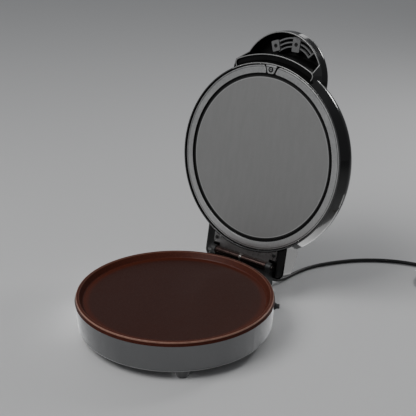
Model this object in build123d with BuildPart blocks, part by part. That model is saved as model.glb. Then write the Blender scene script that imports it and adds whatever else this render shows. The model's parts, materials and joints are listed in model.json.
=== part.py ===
"""Electric pizza maker: a round base with a shallow heated pan, and a domed lid that stands open.

Millimetres. +Z is up, +Y points to the hinge at the rear and +X is to the right of someone who
faces the front. The floor is z = 0 and the origin is the middle of the open appliance's footprint.
The lid is drawn in the frame of the closed lid, whose plane is turned about the hinge.
"""
import os
from math import cos, degrees, pi, radians, sin, tan

from build123d import *

os.makedirs("parts", exist_ok=True)

# Base: sizes
base_axis_y = -80.0
rim_radius = 165.0
foot_height = 15.0
foot_top_radius = 14.0
foot_bottom_radius = 9.5
foot_circle_inset = 18.0
foot_edge_radius = 1.0
front_foot_angle = 45.0
rear_foot_angle = 60.0
foot_floor = 5.0
drum_height = 48.0
drum_wall = 1.0
drum_taper = 3.0
drum_corner_radius = 6.0
drum_lip_width = 5.5
band_height = 5.0
band_flare = 2.3
band_drum_overhang = 0.8
band_skirt_height = 1.6
pan_flange_width = 5.0
pan_flange_thickness = 2.0
pan_slope_width = 6.0
pan_depth = 10.0
pan_floor_thickness = 3.0
pan_wall_thickness = 2.3
pan_fillet_radius = 3.0
rim_fillet_radius = 0.7
cover_thickness = 1.5
vent_count = 16
vent_circle_inset = 47.0
vent_length = 24.0
vent_width = 4.0
foot_boss_height = 9.0
foot_boss_radius = 5.0
post_radius = 5.5
block_centre = (-45.0, 45.0)
block_length = 40.0
block_width = 18.0
block_height = 15.0
block_floor = 2.5
block_pitch = 12.0
block_corner_radius = 2.0

# Heating parts, the same in the base and in the lid
heater_ring_inset = 47.0
heater_tube_radius = 3.25
heater_leg_bend = 8.0
heater_half_gap_angle = 12.0
heater_hole_gap = 2.0
shield_distance = 12.5
shield_thickness = 0.6
shield_inset = 27.0
shield_edge_height = 5.0
shield_edge_width = 4.0
stud_circle_radius = 85.0
stud_radius = 4.0
stud_bite = 9.0
thermostat_radius = 8.5
thermostat_circle_radius = 40.0
thermostat_flange_width = 3.0
thermostat_flange_thickness = 1.5
terminal_length = 8.0
terminal_width = 6.3
terminal_thickness = 0.8

# Push button on the right of the base
button_angle = 32.0
button_drop = 14.0
button_radius = 4.0
button_proud = 9.0
button_travel = 2.0
button_neck_radius = 5.0
button_edge_radius = 1.2
button_nut_radius = 6.5
button_nut_thickness = 1.5
button_neck_length = 4.0
button_neck_floor = 0.5
button_neck_wall = 1.5
switch_depth = 15.0
switch_width = 14.0
switch_height = 15.0

# Hinge
hinge_clearance = 16.0
hinge_drop = 3.0
open_angle = 101.0
pin_radius = 3.0
pin_head_radius = 5.0
pin_head_thickness = 2.0
barrel_radius = 7.5
barrel_half_length = 55.5
barrel_half_gap = 0.8
ear_thickness = 10.0
ear_radius = 8.0
ear_foot = 0.5
ear_side_gap = 1.5
bracket_height = 26.0
bracket_root_depth = 20.0
bracket_corner_radius = 2.0
bracket_screw_angle = 14.0
bracket_screw_bite = 12.0
stop_gap = 0.3
leaf_thickness = 2.5
leaf_overhang = 14.5
leaf_screw_overhang = 8.5
leaf_screw_inset = 21.0
leaf_screw_bite = 12.0
leaf_post_radius = 5.0
leaf_rear_inset = 12.0
leaf_depth = 22.0
leaf_corner_radius = 3.0
ear_gap = 4.5
window_inset = 9.0
tail_plate_reach = 68.0
tail_plate_thickness = 2.5

# Lid: radii from its own axis, and heights above the pan's rim when it is closed
lid_gap = 3.0
lid_wall = 2.5
lid_overhang = 3.0
lid_flare = 5.0
lid_bulge_height = 22.0
lid_shoulder_radius = 18.0
lid_top_height = 57.0
ring_plane_height = 5.2
ring_thickness = 1.2
ring_edge_inset = 4.2
ring_width = 13.8
ring_gap_half_width = 12.0
ring_end_radius = 3.5
plate_groove = 4.8
plate_recess = 1.8
plate_thickness = 2.0
plate_flange_width = 6.5
plate_flange_thickness = 2.0
frame_edge_gap = 0.3
frame_plate_gap = 0.5
frame_lip_thickness = 1.0
frame_thickness = 3.1
frame_post_offset = 7.0
frame_post_radius = 6.0
frame_screw_bite = 10.0
clip_half_width = 9.5
clip_length = 15.5
clip_thickness = 2.2
clip_screw_seat = 1.0

# Lid: rear tail, front lip and handle
tail_side_overhang = 32.5
tail_overhang = 20.0
tail_rear_height = 27.0
tail_front_height = 41.0
tail_step_inset = 7.0
tail_corner_radius = 14.0
tail_rear_radius = 12.0
tail_top_radius = 30.0
tail_overlap = 50.0
lip_overhang = 15.0
lip_half_angle = 28.0
lip_corner_radius = 9.0
lip_height = 11.0
trim_height = 13.5
trim_thickness = 2.0
handle_inset = 0.9
handle_centre_inset = 29.5
handle_rim_height = 38.5
handle_depth = 20.0
handle_flare = 4.5
handle_tilt = 3.5
handle_crown_radius = 7.0
cheek_top_inset = 6.0
cheek_foot_inset = 20.0
rib_insets = (26.0, 33.5, 41.0)
rib_width = 2.6
rib_height = 6.0
rib_centre_x = 14.0
rib_centre_reach = 16.5
rib_first_angle = 227.5
rib_last_angle = 316.0
boss_width = 15.5
right_boss_x = 18.0
right_boss_length = 26.0
right_boss_inset = 20.1
left_boss_x = 24.0
left_boss_length = 19.0
left_boss_inset = 28.0
left_boss_angle = 20.0
boss_corner_radius = 2.0
boss_top_height = 52.0
boss_depth = 8.0
handle_post_radius = 4.5
handle_screw_bite = 6.0

# Screws
screw_radius = 1.75
screw_head_radius = 3.5
screw_head_height = 2.0

# Cord, plug and what holds them
cord_radius = 3.25
cord_exit_angle = 81.2
cord_exit_height = 25.0
relief_length = 32.0
relief_root_radius = 5.0
relief_grip = 4.0
relief_slot_width = 20.0
relief_slot_depth = 3.0
relief_flange_thickness = 2.0
plug_relief_length = 20.0
coil_lift = 1.0
tie_angle = 225.0
tie_thickness = 0.8
tie_width = 4.0
free_length = 20.0
relief_tip_radius = 4.2
relief_flange_radius = 6.5
coil_turn_radius = 35.75
coil_centre_x = 266.0
coil_centre_reach = 288.5
coil_run = 14.0
plug_length = 42.0
plug_width = 34.0
plug_height = 15.0
plug_neck_width = 20.4
plug_neck_height = 11.25
plug_neck_length = 25.2
plug_neck_corner_radius = 4.0
plug_corner_radius = 5.0
plug_pin_radius = 2.4
plug_pin_length = 19.0
plug_pin_spacing = 19.0
plug_pin_tip_radius = 1.5

# Clearances
fit_gap = 0.05
seat_gap = 0.3
touch_gap = 0.1
screw_end_gap = 1.0
cut_overrun = 1.0

# Heights in the base, from the floor up
drum_bottom_z = foot_height
drum_top_z = drum_bottom_z + drum_height
band_top_z = drum_top_z + band_height
rim_z = band_top_z + pan_flange_thickness
pan_floor_z = rim_z - pan_depth
pan_underside_z = pan_floor_z - pan_floor_thickness
lower_shield_z = pan_underside_z - shield_distance
cover_top_z = drum_bottom_z + cover_thickness
hinge_z = rim_z - hinge_drop

# Radii in the base
band_bottom_radius = rim_radius + band_flare
drum_top_radius = band_bottom_radius - band_drum_overhang
drum_bottom_radius = drum_top_radius - drum_taper
drum_lip_radius = drum_bottom_radius - drum_corner_radius - drum_lip_width
pan_slope_radius = rim_radius - pan_flange_width
pan_floor_radius = pan_slope_radius - pan_slope_width
band_inner_radius = pan_slope_radius + pan_wall_thickness + seat_gap
foot_circle_radius = rim_radius - foot_circle_inset
vent_circle_radius = rim_radius - vent_circle_inset
heater_ring_radius = rim_radius - heater_ring_inset
shield_flat_radius = rim_radius - shield_inset

# Radii in the lid, and distances behind or in front of its axis
lid_edge_radius = rim_radius + lid_overhang
lid_bulge_radius = lid_edge_radius + lid_flare
ring_outer_radius = lid_edge_radius - ring_edge_inset
ring_inner_radius = ring_outer_radius - ring_width
plate_radius = ring_inner_radius - plate_groove
frame_post_circle_radius = ring_inner_radius + frame_post_offset
lip_radius = lid_edge_radius + lip_overhang
handle_setback = lid_edge_radius - handle_centre_inset
handle_radius = lip_radius * sin(radians(lip_half_angle)) - handle_inset
cheek_top_setback = lip_radius - cheek_top_inset
cheek_foot_setback = lip_radius - cheek_foot_inset
rib_radii = [handle_radius - inset for inset in rib_insets]
rib_centre_setback = handle_setback + rib_centre_reach
right_boss_setback = handle_setback + handle_radius - right_boss_inset
left_boss_setback = handle_setback + handle_radius - left_boss_inset
hinge_setback = lid_edge_radius + hinge_clearance
hinge_y = base_axis_y + hinge_setback
leaf_half_width = barrel_half_length + leaf_overhang
leaf_screw_x = barrel_half_length + leaf_screw_overhang
tail_half_width = barrel_half_length + tail_side_overhang
leaf_screw_setback = hinge_setback - leaf_screw_inset
leaf_rear_setback = hinge_setback - leaf_rear_inset
window_setback = hinge_setback - window_inset
tail_end_setback = hinge_setback + tail_overhang
tail_step_setback = lid_edge_radius - tail_step_inset
tail_plate_front = lid_edge_radius - tail_plate_reach

# Heights in the lid, above the pan's rim when it is closed
leaf_top_height = barrel_radius - hinge_drop
leaf_bottom_height = leaf_top_height - leaf_thickness
frame_bottom_height = ring_plane_height + ring_thickness
frame_top_height = frame_bottom_height + frame_thickness
plate_face_height = ring_plane_height + plate_recess
plate_back_height = plate_face_height + plate_thickness
upper_shield_height = plate_back_height + shield_distance
tail_plate_top_height = leaf_top_height + tail_plate_thickness

stud_angles = [0, 90, 180, 270]
frame_post_angles = [330, 30, 90, 150, 210, 270]

# Planes
base_plane = Plane(origin=(0, base_axis_y, 0), x_dir=(1, 0, 0), z_dir=(0, 0, 1))
base_section = Plane(origin=(0, base_axis_y, 0), x_dir=(1, 0, 0), z_dir=(0, -1, 0))
base_side = Plane(origin=(0, base_axis_y, 0), x_dir=(0, 1, 0), z_dir=(1, 0, 0))
base_axis = Axis((0, base_axis_y, 0), (0, 0, 1))
turn_cos, turn_sin = cos(radians(open_angle)), sin(radians(open_angle))
lid_origin = (
    0,
    hinge_y - hinge_setback * turn_cos + hinge_drop * turn_sin,
    hinge_z + hinge_setback * turn_sin + hinge_drop * turn_cos,
)
lid_plane = Plane(origin=lid_origin, x_dir=(1, 0, 0), z_dir=(0, turn_sin, turn_cos))
lid_section = Plane(origin=lid_origin, x_dir=(1, 0, 0), z_dir=-lid_plane.y_dir)
lid_side = Plane(origin=lid_origin, x_dir=lid_plane.y_dir, z_dir=(1, 0, 0))
lid_axis = Axis(lid_origin, lid_plane.z_dir)


def drum_radius_at(z):
    """Outer radius of the drum's wall at a height."""
    return drum_bottom_radius + drum_taper * (z - drum_bottom_z) / drum_height


def wall_plane(angle, z):
    """A plane on the drum's outer wall, facing straight out, at an angle from the right."""
    outward = Vector(cos(radians(angle)), sin(radians(angle)), 0)
    origin = Vector(0, base_axis_y, z) + outward * drum_radius_at(z)
    return Plane(origin=origin, x_dir=(-outward.Y, outward.X, 0), z_dir=outward)


def wall_lean(radius):
    """How far the leaning wall stands in front of an upright plane on it, at a distance above."""
    return radius * drum_taper / drum_height


def circles_at(builder, z):
    """The round edges of a part in the base that lie at a height."""
    return builder.edges().filter_by(GeomType.CIRCLE).filter_by_position(Axis.Z, z - 0.01, z + 0.01)


def finish(builder, name):
    """Name a finished piece and write it."""
    builder.part.label = name
    export_step(builder.part, f"parts/{name}.step")
    print(f"{name}: {len(builder.part.solids())} solid(s), {builder.part.volume / 1000:.2f} cm3")


# Base: drum
button_plane = wall_plane(button_angle, rim_z - button_drop)
cord_plane = wall_plane(cord_exit_angle, cord_exit_height)
bracket_screw_z = lower_shield_z
bracket_screw_planes = [wall_plane(90 + side * bracket_screw_angle, bracket_screw_z) for side in (-1, 1)]

with BuildPart() as base_drum:
    with BuildSketch(base_section):
        with BuildLine():
            FilletPolyline(
                (drum_lip_radius, drum_bottom_z),
                (drum_bottom_radius, drum_bottom_z),
                (drum_top_radius, drum_top_z - touch_gap),
                radius=drum_corner_radius,
            )
            offset(amount=drum_wall, side=Side.LEFT)
        make_face()
    revolve(axis=base_axis)
    with BuildSketch(button_plane):
        Circle(button_neck_radius + touch_gap)
    extrude(amount=2 * drum_wall, both=True, mode=Mode.SUBTRACT)
    with BuildSketch(cord_plane):
        Circle(relief_root_radius + seat_gap)
    extrude(amount=2 * drum_wall, both=True, mode=Mode.SUBTRACT)
    for plane in bracket_screw_planes:
        with BuildSketch(plane):
            Circle(screw_radius + touch_gap)
        extrude(amount=2 * drum_wall, both=True, mode=Mode.SUBTRACT)
finish(base_drum, "base_drum")

# Base: dark trim band between the drum and the pan
skirt_radius = drum_radius_at(drum_top_z - band_skirt_height) - drum_wall - touch_gap
with BuildPart() as rim_band:
    with BuildSketch(base_section):
        with BuildLine():
            Polyline(
                (band_inner_radius, band_top_z),
                (rim_radius, band_top_z),
                (band_bottom_radius, drum_top_z),
                (skirt_radius, drum_top_z),
                (skirt_radius, drum_top_z - band_skirt_height),
                (band_inner_radius, drum_top_z - band_skirt_height),
                close=True,
            )
        make_face()
    revolve(axis=base_axis)
finish(rim_band, "rim_band")

# Base: shallow pan with its flange and the studs under its floor
with BuildPart() as lower_pan:
    with BuildSketch(base_section):
        with BuildLine():
            Polyline(
                (0, pan_floor_z),
                (pan_floor_radius, pan_floor_z),
                (pan_slope_radius, rim_z),
                (rim_radius, rim_z),
                (rim_radius, band_top_z),
                (pan_slope_radius + pan_wall_thickness, band_top_z),
                (pan_floor_radius + pan_wall_thickness, pan_underside_z),
                (0, pan_underside_z),
                close=True,
            )
        make_face()
    revolve(axis=base_axis)
    fillet(circles_at(lower_pan, pan_floor_z), radius=pan_fillet_radius)
    fillet(circles_at(lower_pan, rim_z), radius=rim_fillet_radius)
    with BuildSketch(base_plane.offset(lower_shield_z)):
        with PolarLocations(stud_circle_radius, 4):
            Circle(stud_radius)
    extrude(amount=shield_distance)
    with BuildSketch(base_plane.offset(lower_shield_z)):
        with PolarLocations(stud_circle_radius, 4):
            Circle(screw_radius + fit_gap)
    extrude(amount=shield_distance, mode=Mode.SUBTRACT)
finish(lower_pan, "lower_pan")

# Base: bottom cover with posts under the pan's studs, bosses for the feet and vents
cover_flange_radius = drum_bottom_radius - drum_corner_radius - seat_gap
foot_angles = {
    "rear_right": rear_foot_angle,
    "rear_left": 180 - rear_foot_angle,
    "front_left": 180 + front_foot_angle,
    "front_right": -front_foot_angle,
}
foot_spots = {
    place: (foot_circle_radius * cos(radians(a)), foot_circle_radius * sin(radians(a)))
    for place, a in foot_angles.items()
}

with BuildPart() as bottom_cover:
    with BuildSketch(base_section):
        with BuildLine():
            Polyline(
                (0, drum_bottom_z),
                (drum_lip_radius - seat_gap, drum_bottom_z),
                (drum_lip_radius - seat_gap, drum_bottom_z + drum_wall),
                (cover_flange_radius, drum_bottom_z + drum_wall),
                (cover_flange_radius, cover_top_z),
                (0, cover_top_z),
                close=True,
            )
        make_face()
    revolve(axis=base_axis)
    with BuildSketch(base_plane.offset(cover_top_z)):
        with PolarLocations(stud_circle_radius, 4):
            Circle(post_radius)
    extrude(amount=lower_shield_z - shield_thickness - cover_top_z)
    with BuildSketch(base_plane.offset(cover_top_z)):
        with Locations(*foot_spots.values()):
            Circle(foot_boss_radius)
    extrude(amount=foot_boss_height)
    with BuildSketch(base_plane.offset(drum_bottom_z)):
        with PolarLocations(stud_circle_radius, 4):
            Circle(screw_radius + touch_gap)
        with Locations(*foot_spots.values()):
            Circle(screw_radius + fit_gap)
        with PolarLocations(vent_circle_radius, vent_count, start_angle=180 / vent_count):
            SlotOverall(vent_length, vent_width)
    extrude(amount=drum_height, mode=Mode.SUBTRACT)
finish(bottom_cover, "bottom_cover")

# Base: four tapered feet, each with a deep hole for its screw
foot_recess = foot_height - foot_floor
for place, (foot_x, foot_y) in foot_spots.items():
    foot_centre = base_plane.from_local_coords(Vector(foot_x, foot_y, 0))
    with BuildPart() as foot:
        with BuildSketch(Plane(foot_centre)):
            Circle(foot_bottom_radius)
        with BuildSketch(Plane(foot_centre).offset(foot_height)):
            Circle(foot_top_radius)
        loft()
        with BuildSketch(Plane(foot_centre)):
            Circle(screw_radius + touch_gap)
        extrude(amount=foot_height, mode=Mode.SUBTRACT)
        with BuildSketch(Plane(foot_centre)):
            Circle(screw_head_radius + seat_gap)
        extrude(amount=foot_recess, mode=Mode.SUBTRACT)
        fillet(foot.edges().group_by(Axis.Z)[0].sort_by(SortBy.LENGTH)[-1], radius=foot_edge_radius)
    finish(foot, f"foot_{place}")


def screws(places, length):
    """Pan-head screws whose heads lie behind the planes and whose shanks run out of them."""
    with BuildPart() as group:
        for plane in places:
            with BuildSketch(plane):
                Circle(screw_head_radius)
            extrude(amount=-screw_head_height)
            with BuildSketch(plane):
                Circle(screw_radius)
            extrude(amount=length)
    return group


def planes_at(frame, spots, turned=False):
    """Planes at points of a frame, facing along its axis or turned over."""
    facing = -frame.z_dir if turned else frame.z_dir
    return [Plane(origin=frame.from_local_coords(Vector(*s)), x_dir=frame.x_dir, z_dir=facing) for s in spots]


def circle_spots(radius, height, angles):
    """Points on a circle at a height."""
    return [(radius * cos(radians(a)), radius * sin(radians(a)), height) for a in angles]


foot_seats = [(x, y, foot_recess) for x, y in foot_spots.values()]
foot_screw_length = foot_floor + cover_thickness + foot_boss_height - screw_end_gap
finish(screws(planes_at(base_plane, foot_seats), foot_screw_length), "foot_screws")
pan_screw_seat = drum_bottom_z - touch_gap
pan_screw_length = lower_shield_z + stud_bite - pan_screw_seat
pan_seats = circle_spots(stud_circle_radius, pan_screw_seat, stud_angles)
finish(screws(planes_at(base_plane, pan_seats), pan_screw_length), "pan_screws")


# Heating parts, made for the base and for the lid
def heater_ends(ring_height, away):
    """Where the two bent ends of a heating ring stand in their frame, left and right of the rear gap."""
    ends = []
    for side in (-1, 1):
        angle = radians(90 - side * heater_half_gap_angle)
        on_ring = Vector(cos(angle), sin(angle), 0) * heater_ring_radius
        bent = Vector(-side * sin(angle), side * cos(angle), away) * heater_leg_bend
        ends.append(on_ring + bent + Vector(0, 0, ring_height))
    return ends


def heating_element(frame, ring_height, away):
    """A tube bent into an open ring, with both ends turned away from the plate that it heats."""
    leg_run = frame.z_dir * away * (shield_distance + heater_leg_bend)
    right_end, left_end = [frame.from_local_coords(end) for end in heater_ends(ring_height, away)]
    on_ring = [
        frame.from_local_coords(Vector(cos(radians(a)), sin(radians(a)), 0) * heater_ring_radius)
        + frame.z_dir * ring_height
        for a in (90 + heater_half_gap_angle, -90, 90 - heater_half_gap_angle)
    ]
    with BuildPart() as element:
        with BuildLine() as path:
            ring = ThreePointArc(*on_ring)
            TangentArc(ring @ 1, left_end, tangent=ring % 1)
            TangentArc(ring @ 0, right_end, tangent=(ring % 0) * -1)
            Line(left_end, left_end + leg_run)
            Line(right_end, right_end + leg_run)
        with BuildSketch(Plane(origin=left_end + leg_run, z_dir=leg_run)):
            Circle(heater_tube_radius)
        sweep(path=path.wires()[0])
    return element


def heat_shield(frame, section, axis, height, towards, ring_height):
    """A thin dish behind a heating ring: its edge turns to the plate, with holes for the ring's ends."""
    back = height - towards * shield_thickness
    edge = height + towards * shield_edge_height
    with BuildPart() as shield:
        with BuildSketch(section):
            with BuildLine():
                Polyline(
                    (0, height),
                    (shield_flat_radius, height),
                    (shield_flat_radius + shield_edge_width, edge),
                    (shield_flat_radius + shield_edge_width + shield_thickness, edge),
                    (shield_flat_radius + shield_thickness, back),
                    (0, back),
                    close=True,
                )
            make_face()
        revolve(axis=axis)
        with BuildSketch(frame.offset(height)):
            with PolarLocations(stud_circle_radius, len(stud_angles)):
                Circle(screw_radius + touch_gap)
            with Locations(*[(end.X, end.Y) for end in heater_ends(ring_height, -towards)]):
                Circle(heater_tube_radius + heater_hole_gap)
        extrude(amount=2 * shield_thickness, both=True, mode=Mode.SUBTRACT)
    return shield


def thermostat(frame, shield_height, towards):
    """A disc thermostat that stands on the heat shield and feels the plate, with two flat terminals."""
    away = 1 if towards > 0 else -1
    with BuildPart() as sensor:
        with BuildSketch(frame.offset(shield_height)):
            with Locations((thermostat_circle_radius, 0)):
                Circle(thermostat_radius + thermostat_flange_width)
        extrude(amount=away * thermostat_flange_thickness)
        with BuildSketch(frame.offset(shield_height)):
            with Locations((thermostat_circle_radius, 0)):
                Circle(thermostat_radius)
        extrude(amount=away * (shield_distance - touch_gap))
        with BuildSketch(frame.offset(shield_height + away * shield_distance / 2)):
            with Locations((thermostat_circle_radius, 0)):
                Rectangle(2 * (thermostat_radius + terminal_length), terminal_width)
        extrude(amount=away * terminal_thickness)
    return sensor


lower_ring_z = pan_underside_z - heater_tube_radius - touch_gap
upper_ring_height = plate_back_height + heater_tube_radius + touch_gap
finish(heating_element(base_plane, lower_ring_z, -1), "lower_heating_element")
finish(heating_element(lid_plane, upper_ring_height, 1), "upper_heating_element")
lower_shield = heat_shield(base_plane, base_section, base_axis, lower_shield_z, 1, lower_ring_z)
upper_shield = heat_shield(lid_plane, lid_section, lid_axis, upper_shield_height, -1, upper_ring_height)
finish(lower_shield, "lower_heat_shield")
finish(upper_shield, "upper_heat_shield")
finish(thermostat(base_plane, lower_shield_z, 1), "lower_thermostat")
finish(thermostat(lid_plane, upper_shield_height, -1), "upper_thermostat")

# Base: terminal block on the bottom cover, with its clamping screws
with BuildPart() as terminal_block:
    with BuildSketch(base_plane.offset(cover_top_z)):
        with Locations(block_centre):
            RectangleRounded(block_length, block_width, block_corner_radius)
    extrude(amount=block_height)
    with BuildSketch(base_plane.offset(cover_top_z + block_height)):
        with Locations(block_centre):
            with GridLocations(block_pitch, 0, 3, 1):
                Circle(screw_head_radius + touch_gap)
    extrude(amount=-screw_head_height, mode=Mode.SUBTRACT)
    with BuildSketch(base_plane.offset(cover_top_z + block_height)):
        with Locations(block_centre):
            with GridLocations(block_pitch, 0, 3, 1):
                Circle(screw_radius + fit_gap)
    extrude(amount=-block_height + block_floor, mode=Mode.SUBTRACT)
finish(terminal_block, "terminal_block")
block_screw_length = block_height - screw_head_height - block_floor - screw_end_gap
block_screw_seat = cover_top_z + block_height - screw_head_height
block_seats = [
    (block_centre[0] + step * block_pitch, block_centre[1], block_screw_seat)
    for step in (-1, 0, 1)
]
finish(screws(planes_at(base_plane, block_seats, turned=True), block_screw_length), "terminal_screws")

# Base: push switch behind the drum's wall, and its button
neck_inner = -(drum_wall + button_radius + button_neck_wall)
neck_floor = neck_inner + button_neck_floor
button_back = neck_floor + button_travel + touch_gap
with BuildPart() as switch_body:
    with BuildSketch(button_plane.offset(neck_inner)):
        Circle(button_neck_radius)
    extrude(amount=button_neck_length - neck_inner)
    with BuildSketch(button_plane.offset(wall_lean(button_nut_radius) + touch_gap)):
        Circle(button_nut_radius)
    extrude(amount=button_nut_thickness)
    with BuildSketch(button_plane.offset(neck_inner)):
        with Locations((0, -switch_height / 2 - touch_gap)):
            Rectangle(switch_width, switch_height)
    extrude(amount=-switch_depth)
    with BuildSketch(button_plane.offset(neck_floor)):
        Circle(button_radius + touch_gap)
    extrude(amount=button_neck_length - neck_inner, mode=Mode.SUBTRACT)
finish(switch_body, "switch_body")

with BuildPart() as power_button:
    with BuildSketch(button_plane.offset(button_back)):
        Circle(button_radius)
    extrude(amount=button_proud - button_back)
    button_axis = Axis(button_plane.origin, button_plane.z_dir)
    fillet(power_button.edges().sort_by(button_axis)[-1], radius=button_edge_radius)
finish(power_button, "power_button")

# Hinge: bracket at the back of the base, whose rear face stops the open lid
stop_setback = (
    hinge_setback
    + (tail_end_setback - hinge_setback) * turn_cos
    + (leaf_top_height + hinge_drop) * turn_sin
    - stop_gap
)
bracket_top_z = hinge_z - ear_radius - ear_foot
ear_inner = barrel_half_length + ear_side_gap
ear_outer = ear_inner + ear_thickness
with BuildPart() as hinge_bracket:
    with BuildSketch(base_side):
        with BuildLine():
            FilletPolyline(
                (drum_bottom_radius - bracket_root_depth, bracket_top_z),
                (stop_setback, bracket_top_z),
                (stop_setback, bracket_top_z - bracket_height),
                (drum_bottom_radius - bracket_root_depth, bracket_top_z - bracket_height),
                radius=bracket_corner_radius,
                close=True,
            )
        make_face()
    extrude(amount=ear_outer, both=True)
    for side in (-1, 1):
        with BuildSketch(base_side.offset(side * ear_inner)):
            with Locations((hinge_setback, hinge_z)):
                Circle(ear_radius)
            with Locations((hinge_setback, hinge_z)):
                ear_height = ear_radius + ear_foot + cut_overrun
                Rectangle(2 * ear_radius, ear_height, align=(Align.CENTER, Align.MAX))
        extrude(amount=side * ear_thickness)
    with BuildSketch(base_side):
        with Locations((hinge_setback, hinge_z)):
            Circle(pin_radius + fit_gap)
    extrude(amount=ear_outer + cut_overrun, both=True, mode=Mode.SUBTRACT)
    with BuildSketch(base_section):
        with BuildLine():
            Polyline(
                (0, 0),
                (drum_radius_at(0) + touch_gap, 0),
                (drum_radius_at(rim_z) + touch_gap, rim_z),
                (0, rim_z),
                close=True,
            )
        make_face()
    revolve(axis=base_axis, mode=Mode.SUBTRACT)
    for plane in bracket_screw_planes:
        with BuildSketch(plane):
            Circle(screw_radius + fit_gap)
        extrude(amount=bracket_screw_bite + screw_end_gap, mode=Mode.SUBTRACT)
finish(hinge_bracket, "hinge_bracket")
bracket_screw_seats = [plane.offset(-drum_wall - seat_gap) for plane in bracket_screw_planes]
finish(screws(bracket_screw_seats, bracket_screw_bite), "bracket_screws")

with BuildPart() as hinge_pin:
    with BuildSketch(base_side):
        with Locations((hinge_setback, hinge_z)):
            Circle(pin_radius)
    extrude(amount=ear_outer + touch_gap, both=True)
    for side in (-1, 1):
        with BuildSketch(base_side.offset(side * (ear_outer + touch_gap))):
            with Locations((hinge_setback, hinge_z)):
                Circle(pin_head_radius)
        extrude(amount=side * pin_head_thickness)
finish(hinge_pin, "hinge_pin")


# Lid: simple solids that its shell is cut from
def dome(inset):
    """The lid's round body, made smaller by a wall's thickness to give its hollow.

    A flared edge runs into a shoulder arc and then a wide crown arc, each tangent to the last.
    """
    lean = Vector(lid_flare, lid_bulge_height - lid_gap).normalized()
    inward = Vector(-lean.Y, lean.X)
    shoulder_centre = Vector(lid_bulge_radius, lid_bulge_height) + inward * lid_shoulder_radius
    drop = lid_top_height - shoulder_centre.Y
    reach = shoulder_centre.X**2 + drop**2 - lid_shoulder_radius**2
    crown_radius = reach / (2 * (drop - lid_shoulder_radius))
    outward = (shoulder_centre - Vector(0, lid_top_height - crown_radius)).normalized()
    edge_foot = Vector(lid_edge_radius, lid_gap) + inward * inset - lean * (inset and lid_wall)
    with BuildPart() as body:
        with BuildSketch(lid_section):
            with BuildLine():
                edge = Line(edge_foot, Vector(lid_bulge_radius, lid_bulge_height) + inward * inset)
                shoulder_end = shoulder_centre + outward * (lid_shoulder_radius - inset)
                shoulder = TangentArc(edge @ 1, shoulder_end, tangent=edge % 1)
                crown = TangentArc(shoulder @ 1, (0, lid_top_height - inset), tangent=shoulder % 1)
                Polyline(crown @ 1, (0, edge_foot.Y), edge @ 0)
            make_face()
        revolve(axis=lid_axis)
    return body.part


def tail_block(inset):
    """The block behind the lid that covers the hinge, made smaller to give its hollow."""
    floor = leaf_top_height if inset == 0 else leaf_top_height - cut_overrun
    front = lid_edge_radius - tail_overlap
    depth = tail_end_setback - inset - front
    with BuildPart() as body:
        with BuildSketch(lid_plane.offset(floor)):
            with Locations((0, front + depth / 2)):
                RectangleRounded(2 * (tail_half_width - inset), depth, tail_corner_radius - inset)
        extrude(amount=lid_top_height)
        with BuildSketch(lid_side):
            with BuildLine():
                top = FilletPolyline(
                    (tail_end_setback - inset, floor),
                    (tail_end_setback - inset, tail_rear_height - inset),
                    (tail_step_setback, tail_front_height - inset),
                    (front - cut_overrun, tail_front_height - inset),
                    radius=[tail_rear_radius - inset, tail_top_radius - inset],
                )
                Polyline(top @ 1, (front - cut_overrun, floor), top @ 0)
            make_face()
        extrude(amount=tail_half_width, both=True, mode=Mode.INTERSECT)
    return body.part


def handle_block(inset, rim):
    """The round visor over the lid's front edge down to a height, made smaller to give its hollow."""
    centre = lid_plane.from_local_coords(Vector(0, -handle_setback, handle_rim_height))
    tilt = radians(handle_tilt)
    upright = lid_plane.z_dir * cos(tilt) + lid_plane.y_dir * sin(tilt)
    section = Plane(origin=centre, x_dir=(1, 0, 0), z_dir=Vector(1, 0, 0).cross(upright))
    top_height = handle_depth - inset
    with BuildPart() as body:
        with BuildSketch(section):
            with BuildLine():
                top = FilletPolyline(
                    (0, top_height),
                    (handle_radius + handle_flare - inset, top_height),
                    (handle_radius - inset, 0),
                    radius=handle_crown_radius - inset,
                )
                foot = (handle_radius - inset, -handle_rim_height)
                Polyline(top @ 1, foot, (0, -handle_rim_height), top @ 0)
            make_face()
        revolve(axis=Axis(centre, upright))
        with BuildSketch(lid_plane.offset(rim)):
            with Locations((0, -handle_setback)):
                Circle(2 * handle_radius)
        extrude(amount=2 * lid_top_height, mode=Mode.INTERSECT)
    return body.part


def lip_sketch(height, inset):
    """The sector of a circle that the crescent lip follows, at a height, made smaller to give its hollow."""
    slope = tan(radians(lip_half_angle))
    apex = -inset / sin(radians(lip_half_angle))
    reach = 2 * lip_radius
    with BuildSketch(lid_plane.offset(height)) as sector:
        Circle(lip_radius - inset)
        with BuildLine():
            Polyline((0, apex), (reach * slope, apex - reach), (-reach * slope, apex - reach), close=True)
        make_face(mode=Mode.INTERSECT)
        fillet(sector.vertices().sort_by(SortBy.DISTANCE)[-2:], radius=lip_corner_radius - inset)
    return sector.sketch


def lip_block():
    """The crescent lip that widens the lid's edge under the handle."""
    with BuildPart() as body:
        extrude(lip_sketch(lip_height, 0), amount=handle_rim_height + cut_overrun - lip_height)
    return body.part


def cheek_block():
    """The handle's side walls where they come down in a slope to the lip's ends."""
    with BuildPart() as body:
        add(handle_block(0, lip_height))
        with BuildSketch(lid_side):
            with BuildLine():
                Polyline(
                    (-cheek_foot_setback, lip_height - cut_overrun),
                    (-cheek_top_setback, handle_rim_height + cut_overrun),
                    (0, handle_rim_height + cut_overrun),
                    (0, lip_height - cut_overrun),
                    close=True,
                )
            make_face()
        extrude(amount=2 * handle_radius, both=True, mode=Mode.INTERSECT)
    return body.part


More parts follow.
